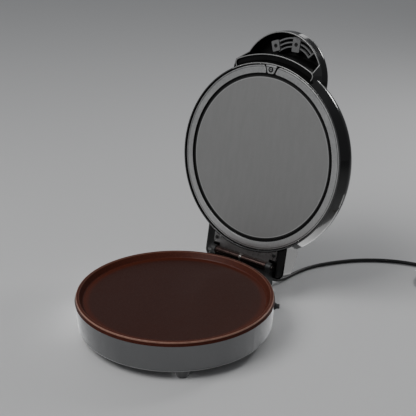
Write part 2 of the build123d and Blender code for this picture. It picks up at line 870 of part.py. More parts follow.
def lip_space():
    """The hollow between the dome, the lip and the handle's roof."""
    with BuildPart() as body:
        add(handle_block(lid_wall, handle_rim_height - 2 * cut_overrun))
        extrude(lip_sketch(lip_height, lid_wall), amount=lid_top_height, mode=Mode.INTERSECT)
        extrude(lip_sketch(lip_height - cut_overrun, lid_wall), amount=handle_rim_height - lip_height)
        add(dome(0), mode=Mode.SUBTRACT)
    return body.part


def finger_space():
    """The hollow under the handle, in front of the lip's wall."""
    with BuildPart() as body:
        add(handle_block(lid_wall, lip_height - 2 * cut_overrun))
        with BuildSketch(lid_plane):
            Circle(lip_radius)
        extrude(amount=2 * lid_top_height, mode=Mode.SUBTRACT)
    return body.part


def tail_space():
    """The hollow of the tail, behind the dome."""
    with BuildPart() as body:
        add(tail_block(lid_wall))
        add(dome(0), mode=Mode.SUBTRACT)
    return body.part


def posts_under(block, spots, radius, bottom):
    """Posts that hang inside a block from its surface down to a height."""
    with BuildPart() as body:
        with BuildSketch(lid_plane.offset(bottom)):
            with Locations(*spots):
                Circle(radius)
        extrude(amount=lid_top_height)
        add(block, mode=Mode.INTERSECT)
    return body.part


def lid_radius_at(height):
    """Outer radius of the lid's straight edge at a height."""
    return lid_edge_radius + lid_flare * (height - lid_gap) / (lid_bulge_height - lid_gap)


# Lid: shell, which joins the dome, tail, lip and handle, with the posts inside it
frame_posts = [
    (frame_post_circle_radius * cos(radians(a)), frame_post_circle_radius * sin(radians(a)))
    for a in frame_post_angles
]
leaf_posts = [(side * leaf_screw_x, leaf_screw_setback) for side in (-1, 1)]
handle_posts = [(-left_boss_x, -left_boss_setback), (right_boss_x, -right_boss_setback)]
half_wall = lid_wall / 2

with BuildPart() as lid_shell:
    add(dome(0))
    add(tail_block(0))
    add(handle_block(0, handle_rim_height))
    add(cheek_block())
    add(lip_block())
    add(dome(lid_wall), mode=Mode.SUBTRACT)
    add(tail_space(), mode=Mode.SUBTRACT)
    add(lip_space(), mode=Mode.SUBTRACT)
    add(finger_space(), mode=Mode.SUBTRACT)
    add(posts_under(dome(half_wall), frame_posts, frame_post_radius, frame_top_height + touch_gap))
    add(posts_under(tail_block(half_wall), leaf_posts, leaf_post_radius, tail_plate_top_height + touch_gap))
    handle_solid = handle_block(half_wall, handle_rim_height)
    add(posts_under(handle_solid, handle_posts, handle_post_radius, boss_top_height + touch_gap))
    with BuildSketch(lid_plane.offset(frame_top_height)):
        Circle(plate_radius + plate_flange_width + seat_gap)
    extrude(amount=plate_flange_thickness + touch_gap, mode=Mode.SUBTRACT)
    with BuildSketch(lid_plane.offset(frame_top_height)):
        with Locations(*frame_posts):
            Circle(screw_radius + fit_gap)
    extrude(amount=frame_screw_bite + screw_end_gap, mode=Mode.SUBTRACT)
    with BuildSketch(lid_plane.offset(tail_plate_top_height)):
        with Locations(*leaf_posts):
            Circle(screw_radius + fit_gap)
    extrude(amount=leaf_screw_bite + screw_end_gap, mode=Mode.SUBTRACT)
    with BuildSketch(lid_plane.offset(boss_top_height)):
        with Locations(*handle_posts):
            Circle(screw_radius + fit_gap)
    extrude(amount=handle_screw_bite + screw_end_gap / 2, mode=Mode.SUBTRACT)
finish(lid_shell, "lid_shell")

# Lid: crescent trim inside the front lip
with BuildPart() as front_trim:
    extrude(lip_sketch(trim_height, lid_wall + seat_gap), amount=trim_thickness)
    with BuildSketch(lid_plane.offset(trim_height)):
        Circle(lid_radius_at(trim_height + trim_thickness) + seat_gap)
    extrude(amount=trim_thickness, mode=Mode.SUBTRACT)
finish(front_trim, "front_trim")

# Lid: black frame that holds the plate, the grey ring under it and the clip at the front
frame_outer_radius = lid_edge_radius - lid_wall - frame_edge_gap
with BuildPart() as lid_frame:
    with BuildSketch(lid_section):
        with BuildLine():
            Polyline(
                (plate_radius + frame_plate_gap, frame_top_height - frame_lip_thickness),
                (ring_inner_radius - frame_plate_gap, frame_top_height - frame_lip_thickness),
                (ring_inner_radius - frame_plate_gap, frame_bottom_height),
                (frame_outer_radius, frame_bottom_height),
                (frame_outer_radius, frame_top_height),
                (plate_radius + frame_plate_gap, frame_top_height),
                close=True,
            )
        make_face()
    revolve(axis=lid_axis)
    with BuildSketch(lid_plane.offset(frame_bottom_height)):
        with Locations(*frame_posts):
            Circle(screw_radius + touch_gap)
    extrude(amount=frame_thickness, mode=Mode.SUBTRACT)
    with BuildSketch(lid_plane.offset(frame_bottom_height)):
        with Locations(*frame_posts[:-1]):
            Circle(screw_head_radius + touch_gap)
    extrude(amount=screw_head_height + touch_gap, mode=Mode.SUBTRACT)
finish(lid_frame, "lid_frame")

with BuildPart() as retaining_ring:
    with BuildSketch(lid_plane.offset(ring_plane_height)):
        Circle(ring_outer_radius)
        Circle(ring_inner_radius, mode=Mode.SUBTRACT)
        with Locations((0, -ring_outer_radius)):
            Rectangle(2 * ring_gap_half_width, ring_outer_radius, mode=Mode.SUBTRACT)
        fillet(vertices(), radius=ring_end_radius)
    extrude(amount=ring_thickness)
finish(retaining_ring, "retaining_ring")

with BuildPart() as front_clip:
    with BuildSketch(lid_plane.offset(frame_bottom_height)):
        with Locations((0, -ring_inner_radius)):
            Rectangle(2 * clip_half_width, clip_length, align=(Align.CENTER, Align.MAX))
        fillet(vertices(), radius=ring_end_radius)
        with Locations((0, -frame_post_circle_radius)):
            Circle(screw_radius + touch_gap, mode=Mode.SUBTRACT)
    extrude(amount=-clip_thickness)
    with BuildSketch(lid_plane.offset(frame_bottom_height - clip_screw_seat)):
        with Locations((0, -frame_post_circle_radius)):
            Circle(screw_head_radius + touch_gap)
    extrude(amount=-clip_thickness, mode=Mode.SUBTRACT)
finish(front_clip, "front_clip")

frame_seats = [(x, y, frame_bottom_height + screw_head_height + touch_gap) for x, y in frame_posts[:-1]]
frame_screw_length = frame_top_height - frame_seats[0][2] + frame_screw_bite
finish(screws(planes_at(lid_plane, frame_seats), frame_screw_length), "frame_screws")
clip_seats = [(0, -frame_post_circle_radius, frame_bottom_height - clip_screw_seat)]
clip_screw_length = frame_thickness + clip_screw_seat + frame_screw_bite
finish(screws(planes_at(lid_plane, clip_seats), clip_screw_length), "clip_screw")

# Lid: heated plate, whose flange lies on the frame, and the screws of its heat shield
with BuildPart() as upper_plate:
    with BuildSketch(lid_plane.offset(plate_face_height)):
        Circle(plate_radius)
    extrude(amount=plate_thickness)
    with BuildSketch(lid_plane.offset(plate_back_height)):
        Circle(plate_radius)
        Circle(heater_ring_radius + 2 * heater_tube_radius, mode=Mode.SUBTRACT)
    extrude(amount=frame_top_height + plate_flange_thickness - plate_back_height)
    with BuildSketch(lid_plane.offset(frame_top_height)):
        Circle(plate_radius + plate_flange_width)
        Circle(heater_ring_radius + 2 * heater_tube_radius, mode=Mode.SUBTRACT)
    extrude(amount=plate_flange_thickness)
    with BuildSketch(lid_plane.offset(plate_back_height)):
        with PolarLocations(stud_circle_radius, len(stud_angles)):
            Circle(stud_radius)
    extrude(amount=shield_distance)
    with BuildSketch(lid_plane.offset(plate_back_height)):
        with PolarLocations(stud_circle_radius, len(stud_angles)):
            Circle(screw_radius + fit_gap)
    extrude(amount=shield_distance, mode=Mode.SUBTRACT)
finish(upper_plate, "upper_plate")
shield_seats = circle_spots(stud_circle_radius, upper_shield_height + shield_thickness, stud_angles)
shield_screw_length = stud_bite + shield_thickness
finish(screws(planes_at(lid_plane, shield_seats, turned=True), shield_screw_length), "upper_shield_screws")

# Lid: hinge leaf with its two barrels, the screws in it and the plate under the tail
leaf_edge_radius = lid_radius_at(leaf_top_height) + seat_gap
with BuildPart() as hinge_leaf:
    with BuildSketch(lid_plane.offset(leaf_bottom_height)):
        with Locations((0, leaf_rear_setback - leaf_depth / 2)):
            RectangleRounded(2 * leaf_half_width, leaf_depth, leaf_corner_radius)
        with Locations((0, hinge_setback)):
            Rectangle(2 * barrel_half_length, leaf_depth, align=(Align.CENTER, Align.MAX))
        Circle(leaf_edge_radius, mode=Mode.SUBTRACT)
    extrude(amount=leaf_thickness)
    with BuildSketch(lid_side):
        with Locations((hinge_setback, -hinge_drop)):
            Circle(barrel_radius)
    extrude(amount=barrel_half_length, both=True)
    with BuildSketch(lid_side):
        with Locations((hinge_setback, -hinge_drop)):
            Circle(pin_radius + fit_gap)
    extrude(amount=barrel_half_length, both=True, mode=Mode.SUBTRACT)
    with BuildSketch(lid_side):
        with Locations((hinge_setback, -hinge_drop)):
            gap_cut_size = 2 * barrel_radius + cut_overrun
            Rectangle(gap_cut_size, gap_cut_size)
    extrude(amount=barrel_half_gap, both=True, mode=Mode.SUBTRACT)
    with BuildSketch(lid_plane.offset(leaf_bottom_height)):
        with Locations(*leaf_posts):
            Circle(screw_radius + touch_gap)
    extrude(amount=leaf_thickness, mode=Mode.SUBTRACT)
finish(hinge_leaf, "hinge_leaf")
leaf_seats = [(x, y, leaf_bottom_height) for x, y in leaf_posts]
leaf_screw_length = tail_plate_top_height - leaf_bottom_height + leaf_screw_bite
finish(screws(planes_at(lid_plane, leaf_seats), leaf_screw_length), "leaf_screws")

tail_inner_x = tail_half_width - lid_wall - seat_gap
tail_inner_end = tail_end_setback - lid_wall - seat_gap
with BuildPart() as tail_plate:
    with BuildSketch(lid_plane.offset(leaf_top_height)):
        with Locations((0, tail_inner_end)):
            Rectangle(2 * tail_inner_x, tail_inner_end, align=(Align.CENTER, Align.MAX))
        fillet(vertices().group_by(Axis.Y)[-1], radius=tail_corner_radius - lid_wall)
        Circle(lid_radius_at(tail_plate_top_height) + seat_gap, mode=Mode.SUBTRACT)
        with Locations((0, window_setback)):
            window_width = 2 * (ear_outer + ear_gap)
            Rectangle(window_width, tail_end_setback, align=(Align.CENTER, Align.MIN), mode=Mode.SUBTRACT)
        Rectangle(4 * lid_edge_radius, 2 * tail_plate_front, mode=Mode.SUBTRACT)
        with Locations(*leaf_posts):
            Circle(screw_radius + touch_gap, mode=Mode.SUBTRACT)
    extrude(amount=tail_plate_thickness)
finish(tail_plate, "tail_plate")

# Handle: ribbed grip insert under the visor, held by two screws
boss_floor = boss_top_height - boss_depth
with BuildPart() as handle_insert:
    for rib_radius in rib_radii:
        with BuildSketch(lid_plane.offset(boss_top_height)):
            with BuildLine():
                sweep_angle = rib_last_angle - rib_first_angle
                CenterArc((rib_centre_x, -rib_centre_setback), rib_radius, rib_first_angle, sweep_angle)
                offset(amount=rib_width / 2)
            make_face()
        extrude(amount=-rib_height)
    with BuildSketch(lid_plane.offset(boss_top_height)):
        angle = radians(rib_last_angle)
        middle = (rib_radii[0] + rib_radii[-1]) / 2
        spot = (rib_centre_x + middle * cos(angle), middle * sin(angle) - rib_centre_setback)
        with Locations(Location(spot, rib_last_angle)):
            Rectangle(rib_radii[0] - rib_radii[-1], rib_width)
    extrude(amount=-rib_height)
    with BuildSketch(lid_plane.offset(boss_top_height)):
        with Locations(Location(handle_posts[0], -left_boss_angle)):
            RectangleRounded(boss_width, left_boss_length, boss_corner_radius)
        with Locations(handle_posts[1]):
            RectangleRounded(boss_width, right_boss_length, boss_corner_radius)
    extrude(amount=-boss_depth)
    with BuildSketch(lid_plane.offset(boss_top_height)):
        with Locations(*handle_posts):
            Circle(screw_radius + touch_gap)
    extrude(amount=-boss_depth, mode=Mode.SUBTRACT)
    with BuildSketch(lid_plane.offset(boss_floor)):
        with Locations(*handle_posts):
            Circle(screw_head_radius + touch_gap)
    extrude(amount=screw_head_height + seat_gap, mode=Mode.SUBTRACT)
finish(handle_insert, "handle_insert")
handle_seats = [(x, y, boss_floor + screw_head_height + seat_gap) for x, y in handle_posts]
handle_screw_length = boss_top_height - handle_seats[0][2] + handle_screw_bite
finish(screws(planes_at(lid_plane, handle_seats), handle_screw_length), "handle_screws")

# Cord: tapered strain relief in the drum's wall
with BuildPart() as strain_relief:
    with BuildSketch(cord_plane.offset(-drum_wall - relief_grip)):
        Circle(relief_root_radius)
    extrude(amount=drum_wall + relief_grip + seat_gap)
    with BuildSketch(cord_plane.offset(-drum_wall - relief_grip)):
        SlotOverall(relief_slot_width, 2 * relief_root_radius)
    extrude(amount=relief_slot_depth)
    with BuildSketch(cord_plane.offset(wall_lean(relief_flange_radius) + touch_gap)):
        Circle(relief_flange_radius)
    extrude(amount=relief_flange_thickness)
    with BuildSketch(cord_plane.offset(seat_gap)):
        Circle(relief_root_radius)
    with BuildSketch(cord_plane.offset(relief_length)):
        Circle(relief_tip_radius)
    loft()
finish(strain_relief, "strain_relief")

# Cord: tube along the floor, from the strain relief to the coil
cord_points = [
    base_plane.from_local_coords(Vector(x, drum_bottom_radius + reach, z))
    for x, reach, z in (
        (33.0, 49.0, 25.0),
        (35.5, 67.0, 17.5),
        (37.0, 85.5, 8.0),
        (37.5, 107.5, 3.6),
        (39.0, 140.5, 3.3),
        (47.0, 181.5, 3.3),
        (68.0, 221.5, 3.3),
        (99.0, 263.5, 3.3),
        (140.0, 297.5, 3.3),
        (188.0, 319.5, 3.3),
        (238.0, 327.0, 3.6),
    )
]
cord_start = cord_plane.origin + cord_plane.z_dir * relief_length
outer_turn = coil_turn_radius + cord_radius
coil_centre_y = drum_bottom_radius + coil_centre_reach
coil_entry = base_plane.from_local_coords(
    Vector(coil_centre_x - coil_run, coil_centre_y + outer_turn, coil_lift + cord_radius)
)
route = [cord_start, *cord_points, coil_entry]


def bend_radii(points):
    """The radius of a soft bend at each inner point of a route, from the runs beside it and its turn."""
    radii = []
    for before, here, after in zip(points, points[1:], points[2:]):
        turn = radians((here - before).get_angle(after - here))
        radii.append(0.45 * min((here - before).length, (after - here).length) / tan(turn / 2))
    return radii


route_radii = bend_radii(route)
print("cord radii", [round(r, 1) for r in route_radii])
with BuildPart() as cord_tube:
    with BuildLine() as cord_path:
        FilletPolyline(*route, radius=route_radii)
    with BuildSketch(Plane(origin=cord_start, z_dir=cord_points[0] - cord_start)):
        Circle(cord_radius)
    sweep(path=cord_path.wires()[0])
finish(cord_tube, "power_cord")
tube_length = cord_path.wires()[0].length
volume_ratio = cord_tube.part.volume / (tube_length * pi * cord_radius**2)
print(f"cord tube {tube_length:.1f} mm, volume ratio {volume_ratio:.4f}")

# Cord: spare length in a flat coil, with the tie round it, the free end and the plug
coil_foot = base_plane.from_local_coords(Vector(coil_centre_x, coil_centre_y, 0))
coil_section = Plane(origin=coil_foot, x_dir=(1, 0, 0), z_dir=(0, -1, 0))
coil_middle = coil_lift + 2 * cord_radius
with BuildPart() as cord_coil:
    with BuildSketch(coil_section):
        with Locations((coil_turn_radius, coil_middle)):
            RectangleRounded(4 * cord_radius, 4 * cord_radius, cord_radius - touch_gap)
    revolve(axis=Axis(coil_foot, (0, 0, 1)))
finish(cord_coil, "cord_coil")

tie_direction = Vector(cos(radians(tie_angle)), sin(radians(tie_angle)), 0)
tie_plane = Plane(origin=coil_foot, x_dir=tie_direction, z_dir=tie_direction.cross(Vector(0, 0, 1)))
with BuildPart() as cord_tie:
    with BuildSketch(tie_plane):
        with Locations((coil_turn_radius, coil_middle)):
            inner_size = 4 * cord_radius + 2 * touch_gap
            outer_size = inner_size + 2 * tie_thickness
            RectangleRounded(outer_size, outer_size, cord_radius + tie_thickness)
            RectangleRounded(inner_size, inner_size, cord_radius, mode=Mode.SUBTRACT)
    extrude(amount=tie_width / 2, both=True)
finish(cord_tie, "cord_tie")

plug_x = coil_centre_x + outer_turn
free_start_y = coil_centre_y - coil_run
free_start = base_plane.from_local_coords(Vector(plug_x, free_start_y, coil_lift + 3 * cord_radius))
free_end = base_plane.from_local_coords(Vector(plug_x, free_start_y - free_length, plug_height / 2))
with BuildPart() as cord_end:
    with BuildSketch(Plane(origin=free_start, z_dir=free_end - free_start)):
        Circle(cord_radius)
    extrude(amount=(free_end - free_start).length)
finish(cord_end, "cord_end")

plug_plane = Plane(origin=free_end, x_dir=(1, 0, 0), z_dir=(0, -1, 0))
with BuildPart() as plug_relief:
    with BuildSketch(plug_plane.offset(touch_gap)):
        Circle(relief_tip_radius)
    with BuildSketch(plug_plane.offset(plug_relief_length)):
        Circle(relief_root_radius)
    loft()
finish(plug_relief, "plug_strain_relief")

with BuildPart() as plug_body:
    with BuildSketch(plug_plane.offset(plug_relief_length + touch_gap)):
        RectangleRounded(plug_neck_width, plug_neck_height, plug_neck_corner_radius)
    with BuildSketch(plug_plane.offset(plug_relief_length + plug_neck_length)):
        RectangleRounded(plug_width, plug_height, plug_corner_radius)
    loft()
    with BuildSketch(plug_plane.offset(plug_relief_length + plug_neck_length)):
        RectangleRounded(plug_width, plug_height, plug_corner_radius)
    extrude(amount=plug_length - plug_neck_length)
finish(plug_body, "plug_body")

with BuildPart() as plug_pins:
    with BuildSketch(plug_plane.offset(plug_relief_length + plug_length + touch_gap)):
        with GridLocations(plug_pin_spacing, 0, 2, 1):
            Circle(plug_pin_radius)
    extrude(amount=plug_pin_length)
    fillet(plug_pins.faces().sort_by(Axis.Y)[:2].edges(), radius=plug_pin_tip_radius)
finish(plug_pins, "plug_pins")
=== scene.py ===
"""Electric pizza maker: finishes, fine pieces, cord and studio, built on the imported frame.

Metres. +Z is up, +Y points to the hinge and +X is to the right of someone who faces the front.
The lid stands open at rest. Its own pieces are worked out in the closed lid's frame, whose origin is
on the base's axis at the height of the pan's rim, and are then turned about the hinge by lid_place.
"""
import json
from math import cos, pi, radians, sin

import bpy
import numpy as np
from mathutils import Matrix, Vector


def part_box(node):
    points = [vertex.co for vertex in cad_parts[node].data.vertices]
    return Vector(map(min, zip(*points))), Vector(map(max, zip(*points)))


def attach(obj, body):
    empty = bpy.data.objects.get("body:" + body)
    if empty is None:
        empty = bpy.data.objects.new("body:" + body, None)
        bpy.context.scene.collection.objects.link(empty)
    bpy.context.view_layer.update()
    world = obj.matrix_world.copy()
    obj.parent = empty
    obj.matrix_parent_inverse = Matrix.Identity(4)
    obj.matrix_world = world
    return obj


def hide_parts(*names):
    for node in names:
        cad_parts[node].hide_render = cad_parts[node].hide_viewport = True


bl_info = {
    "name": "Pizza maker dressing",
    "version": (1, 0, 0),
    "blender": (4, 5, 0),
    "location": "View3D > Sidebar > Pizza maker",
    "description": "Finishes and fine pieces of a countertop pizza maker with a hinged lid",
    "category": "Object",
}

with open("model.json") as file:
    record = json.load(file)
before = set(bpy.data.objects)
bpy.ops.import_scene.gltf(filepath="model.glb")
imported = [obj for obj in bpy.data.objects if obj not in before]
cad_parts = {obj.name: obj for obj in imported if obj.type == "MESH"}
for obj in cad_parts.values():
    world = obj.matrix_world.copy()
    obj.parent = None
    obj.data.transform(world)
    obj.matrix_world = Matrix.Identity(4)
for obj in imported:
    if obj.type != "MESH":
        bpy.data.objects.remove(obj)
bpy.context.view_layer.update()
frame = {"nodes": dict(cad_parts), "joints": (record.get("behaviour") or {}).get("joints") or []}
nodes = frame["nodes"]

drum_low, drum_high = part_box("base_drum")
pan_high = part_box("lower_pan")[1]
BASE_Y = (drum_low.y + drum_high.y) / 2
RIM_Z = pan_high.z
HINGE = next(j for j in frame["joints"] if j["child"] == "lid")
OPEN_ANGLE = radians(max(abs(a) for a in HINGE["range_deg"]))
HINGE_Y, HINGE_Z = HINGE["pos_m"][1], HINGE["pos_m"][2]
HINGE_SETBACK, HINGE_DROP = HINGE_Y - BASE_Y, RIM_Z - HINGE_Z

LID_SIDE = np.array([0.0, cos(OPEN_ANGLE), -sin(OPEN_ANGLE)])
LID_UP = np.array([0.0, sin(OPEN_ANGLE), cos(OPEN_ANGLE)])
LID_ORIGIN = np.array([0.0, HINGE_Y, HINGE_Z]) - HINGE_SETBACK * LID_SIDE + HINGE_DROP * LID_UP

# The handle's visor, the lip in front of the lid, the ring and the clip, in the closed lid's frame
VISOR_SETBACK, VISOR_RIM, VISOR_RADIUS = 0.1385, 0.0385, 0.0850
LIP_RADIUS, LIP_ANGLE, LIP_CORNER, LIP_EDGE = 0.183, 28.0, 0.009, 0.0113
SHELL_RADIUS, SHELL_EDGE = 0.16675, 0.0032
RING_RADIUS, RING_HALF_WIDTH, RING_HALF_HEIGHT, RING_MIDDLE = 0.1569, 0.0069, 0.0006, 0.0058
CLIP_RADIUS = 0.157


def base_place(points):
    """Points about the base's axis, heights from the floor, to the shared frame."""
    return np.asarray(points, float) + (0.0, BASE_Y, 0.0)


def lid_place(points):
    """Points of the closed lid's frame to the open pose: y runs along LID_SIDE, height along LID_UP."""
    p = np.asarray(points, float)
    return LID_ORIGIN + p[..., :1] * (1.0, 0.0, 0.0) + p[..., 1:2] * LID_SIDE + p[..., 2:3] * LID_UP


def stand_on(origin, direction):
    """A function that stands points on an origin, with their height along a direction other than x."""
    up = np.array(direction, float) / np.linalg.norm(direction)
    side = np.cross(up, (1.0, 0.0, 0.0))
    side /= np.linalg.norm(side)
    across = np.cross(side, up)
    return lambda p: np.asarray(origin) + p[..., :1] * across + p[..., 1:2] * side + p[..., 2:3] * up


# Shapes
def skin(grid, loop=False, caps=(True, True)):
    """Vertices and faces of a surface through a grid of points, whose rows close on themselves.

    The last row joins the first where loop is true, and otherwise each capped end is a fan about the
    mean of its row. The enclosed volume, a sum of triple products over the faces, tells whether the
    faces are turned round.
    """
    rows, columns = grid.shape[:2]
    index = np.arange(rows * columns).reshape(rows, columns)
    index = np.concatenate([index, index[:, :1]], 1)
    if loop:
        index = np.concatenate([index, index[:1]], 0)
    quads = np.stack([index[:-1, :-1], index[:-1, 1:], index[1:, 1:], index[1:, :-1]], -1).reshape(-1, 4)
    points = grid.reshape(-1, 3)
    faces = [quads]
    for end, capped in zip((0, -1), (False, False) if loop else caps):
        if capped:
            middle = len(points)
            points = np.concatenate([points, grid[end].mean(0)[None]], 0)
            ring = index[end]
            fan = np.stack([ring[:-1], np.full(len(ring) - 1, middle), ring[1:]], -1)
            faces.append(fan if end == 0 else fan[:, ::-1])
    volume = 0.0
    for corner in (points[f] for f in faces):
        for second in range(1, corner.shape[1] - 1):
            turn = np.cross(corner[:, second], corner[:, second + 1])
            volume += np.einsum("ij,ij->i", corner[:, 0], turn).sum()
    if volume < 0:
        faces = [f[:, ::-1] for f in faces]
    return points, faces


def joined(skins):
    """Several skins as one."""
    points, faces, start = [], [], 0
    for p, f in skins:
        points.append(p)
        faces += [part + start for part in f]
        start += len(p)
    return np.concatenate(points, 0), faces


def circle(count):
    """Angles evenly round a circle."""
    return np.arange(count) * 2 * pi / count


def disc(radius, count):
    """The outline of a disc: points evenly round a circle."""
    return radius * np.stack([np.cos(circle(count)), np.sin(circle(count))], -1)


def at_height(outline, height):
    """An outline in a plane lifted to a height."""
    return np.concatenate([outline, np.full((len(outline), 1), height)], 1)


def ease(value, start, end):
    """A smooth step, from nought at start to one at end: 3 s squared less 2 s cubed."""
    share = np.clip((value - start) / (end - start), 0, 1)
    return share * share * (3 - 2 * share)


def turned(profile, segments):
    """A profile of radius and height carried round the upright axis; a zero radius is a closed pole."""
    return skin(np.array([at_height(disc(radius, segments), height) for radius, height in profile]))


def arc(centre, radius, start, end, count):
    """Points of an arc in a plane, from one angle in degrees to another."""
    angles = np.radians(np.linspace(start, end, count))
    return np.stack([centre[0] + radius * np.cos(angles), centre[1] + radius * np.sin(angles)], -1)


def bead(path, upright, radius, closed=True):
    """A round bead along a path: each section is a circle across the path, turned towards upright."""
    path = np.asarray(path, float)
    ahead = np.roll(path, -1, 0) - np.roll(path, 1, 0) if closed else np.gradient(path, axis=0)
    ahead /= np.linalg.norm(ahead, axis=1, keepdims=True)
    beside = np.cross(ahead, np.asarray(upright, float))
    beside /= np.linalg.norm(beside, axis=1, keepdims=True)
    over = np.cross(beside, ahead)
    angles = circle(12)
    beside, over = beside[:, None], over[:, None]
    ring = np.cos(angles)[None, :, None] * beside + np.sin(angles)[None, :, None] * over
    return skin(path[:, None] + radius * ring, loop=closed)


def rounded_outline(half_x, half_y, corner, count=10):
    """The outline of a rectangle with round corners: four quarter circles, joined."""
    x, y = half_x - corner, half_y - corner
    middles = ((x, y), (-x, y), (-x, -y), (x, -y))
    quarters = [arc(m, corner, 90 * turn, 90 * turn + 90, count) for turn, m in enumerate(middles)]
    return np.concatenate(quarters, 0)


def slab(outline, low, high, edge):
    """A flat plate from an outline, whose long edges are quarter circles of a radius.

    Each level is the outline, drawn in towards its middle by the quarter circle's inset there.
    """
    outline = np.asarray(outline, float)
    middle = outline.mean(0)
    reach = np.linalg.norm(outline - middle, axis=1, keepdims=True)
    turn = np.radians(np.linspace(90, 0, 5))
    inset = edge * (1 - np.cos(turn))
    rise = edge * (1 - np.sin(turn))
    levels = [*zip(inset, low + rise), *zip(inset[::-1], high - rise[::-1])]
    rows = [at_height(middle + (outline - middle) * (1 - i / reach), z) for i, z in levels]
    return skin(np.array(rows))


def piece(name, shape, body, material, stands_for=(), place=None):
    """Makes a smooth mesh object from a shape in its body's own frame, and lets it ride on the body."""
    points, faces = shape
    if place is None:
        place = lid_place if body == "lid" else base_place
    points = place(points)
    mesh = bpy.data.meshes.new(name)
    mesh.from_pydata(points.tolist(), [], [f for part in faces for f in part.tolist()])
    mesh.update()
    mesh.shade_smooth()
    mesh.set_sharp_from_angle(angle=radians(40))
    mesh.materials.append(material)
    made = bpy.data.objects.new(name, mesh)
    bpy.context.scene.collection.objects.link(made)
    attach(made, body)
    if stands_for:
        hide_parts(*stands_for)
    return made


# Shader steps and groups
class Steps:
    """Adds nodes to a tree in turn: a plain value is set on its socket, an output is linked to it."""

    def __init__(self, tree):
        self.tree = tree

    def add(self, kind, sockets=(), **settings):
        node = self.tree.nodes.new(kind)
        for key, value in settings.items():
            setattr(node, key, value)
        for key, value in dict(sockets).items():
            self.put(node.inputs[key], value)
        return node

    def put(self, socket, value):
        if isinstance(value, bpy.types.NodeSocket):
            self.tree.links.new(value, socket)
        else:
            socket.default_value = value

    def maths(self, operation, *values, clamp=False):
        node = self.add("ShaderNodeMath", enumerate(values), operation=operation, use_clamp=clamp)
        return node.outputs[0]

    def plus(self, *values, clamp=False):
        return self.maths("ADD", *values, clamp=clamp)

    def minus(self, *values):
        return self.maths("SUBTRACT", *values)

    def times(self, *values, clamp=False):
        return self.maths("MULTIPLY", *values, clamp=clamp)

    def reach(self, x, y):
        """The long side over two sides at a right angle."""
        return self.maths("SQRT", self.plus(self.times(x, x), self.times(y, y)))

    def noise(self, vector, scale, detail=2.0, rough=0.5):
        sockets = {"Vector": vector, "Scale": scale, "Detail": detail, "Roughness": rough}
        return self.add("ShaderNodeTexNoise", sockets).outputs["Fac"]

    def stretched(self, vector, scale):
        return self.add("ShaderNodeMapping", {"Vector": vector, "Scale": scale}).outputs[0]

    def spread(self, value, low, high, to_low=0.0, to_high=1.0):
        """Maps a range of a value to another one along a smooth step."""
        sockets = enumerate((value, low, high, to_low, to_high))
        return self.add("ShaderNodeMapRange", sockets, interpolation_type="SMOOTHSTEP").outputs[0]

    def mix(self, share, first, second):
        """One value between two others."""
        return self.add("ShaderNodeMix", {0: share, 2: first, 3: second}, data_type="FLOAT").outputs[0]

    def blend(self, share, first, second):
        """One colour between two others."""
        sockets = {0: share, 6: first, 7: second}
        return self.add("ShaderNodeMix", sockets, data_type="RGBA", clamp_factor=True).outputs[2]

    def group(self, name, **values):
        """The outputs of a group whose inputs have the values' names."""
        return self.add("ShaderNodeGroup", values, node_tree=bpy.data.node_groups[name]).outputs


def open_group(name, inputs, *outputs):
    """Starts a shader group: inputs are names and defaults, outputs are names of plain values."""
    tree = bpy.data.node_groups.new(name, "ShaderNodeTree")
    for label, default in inputs.items():
        kind = "NodeSocketFloat" if isinstance(default, float) else "NodeSocketVector"
        tree.interface.new_socket(label, in_out="INPUT", socket_type=kind).default_value = default
    for label in outputs:
        tree.interface.new_socket(label, in_out="OUTPUT", socket_type="NodeSocketFloat")
    steps = Steps(tree)
    return steps, steps.add("NodeGroupInput").outputs, steps.add("NodeGroupOutput").inputs


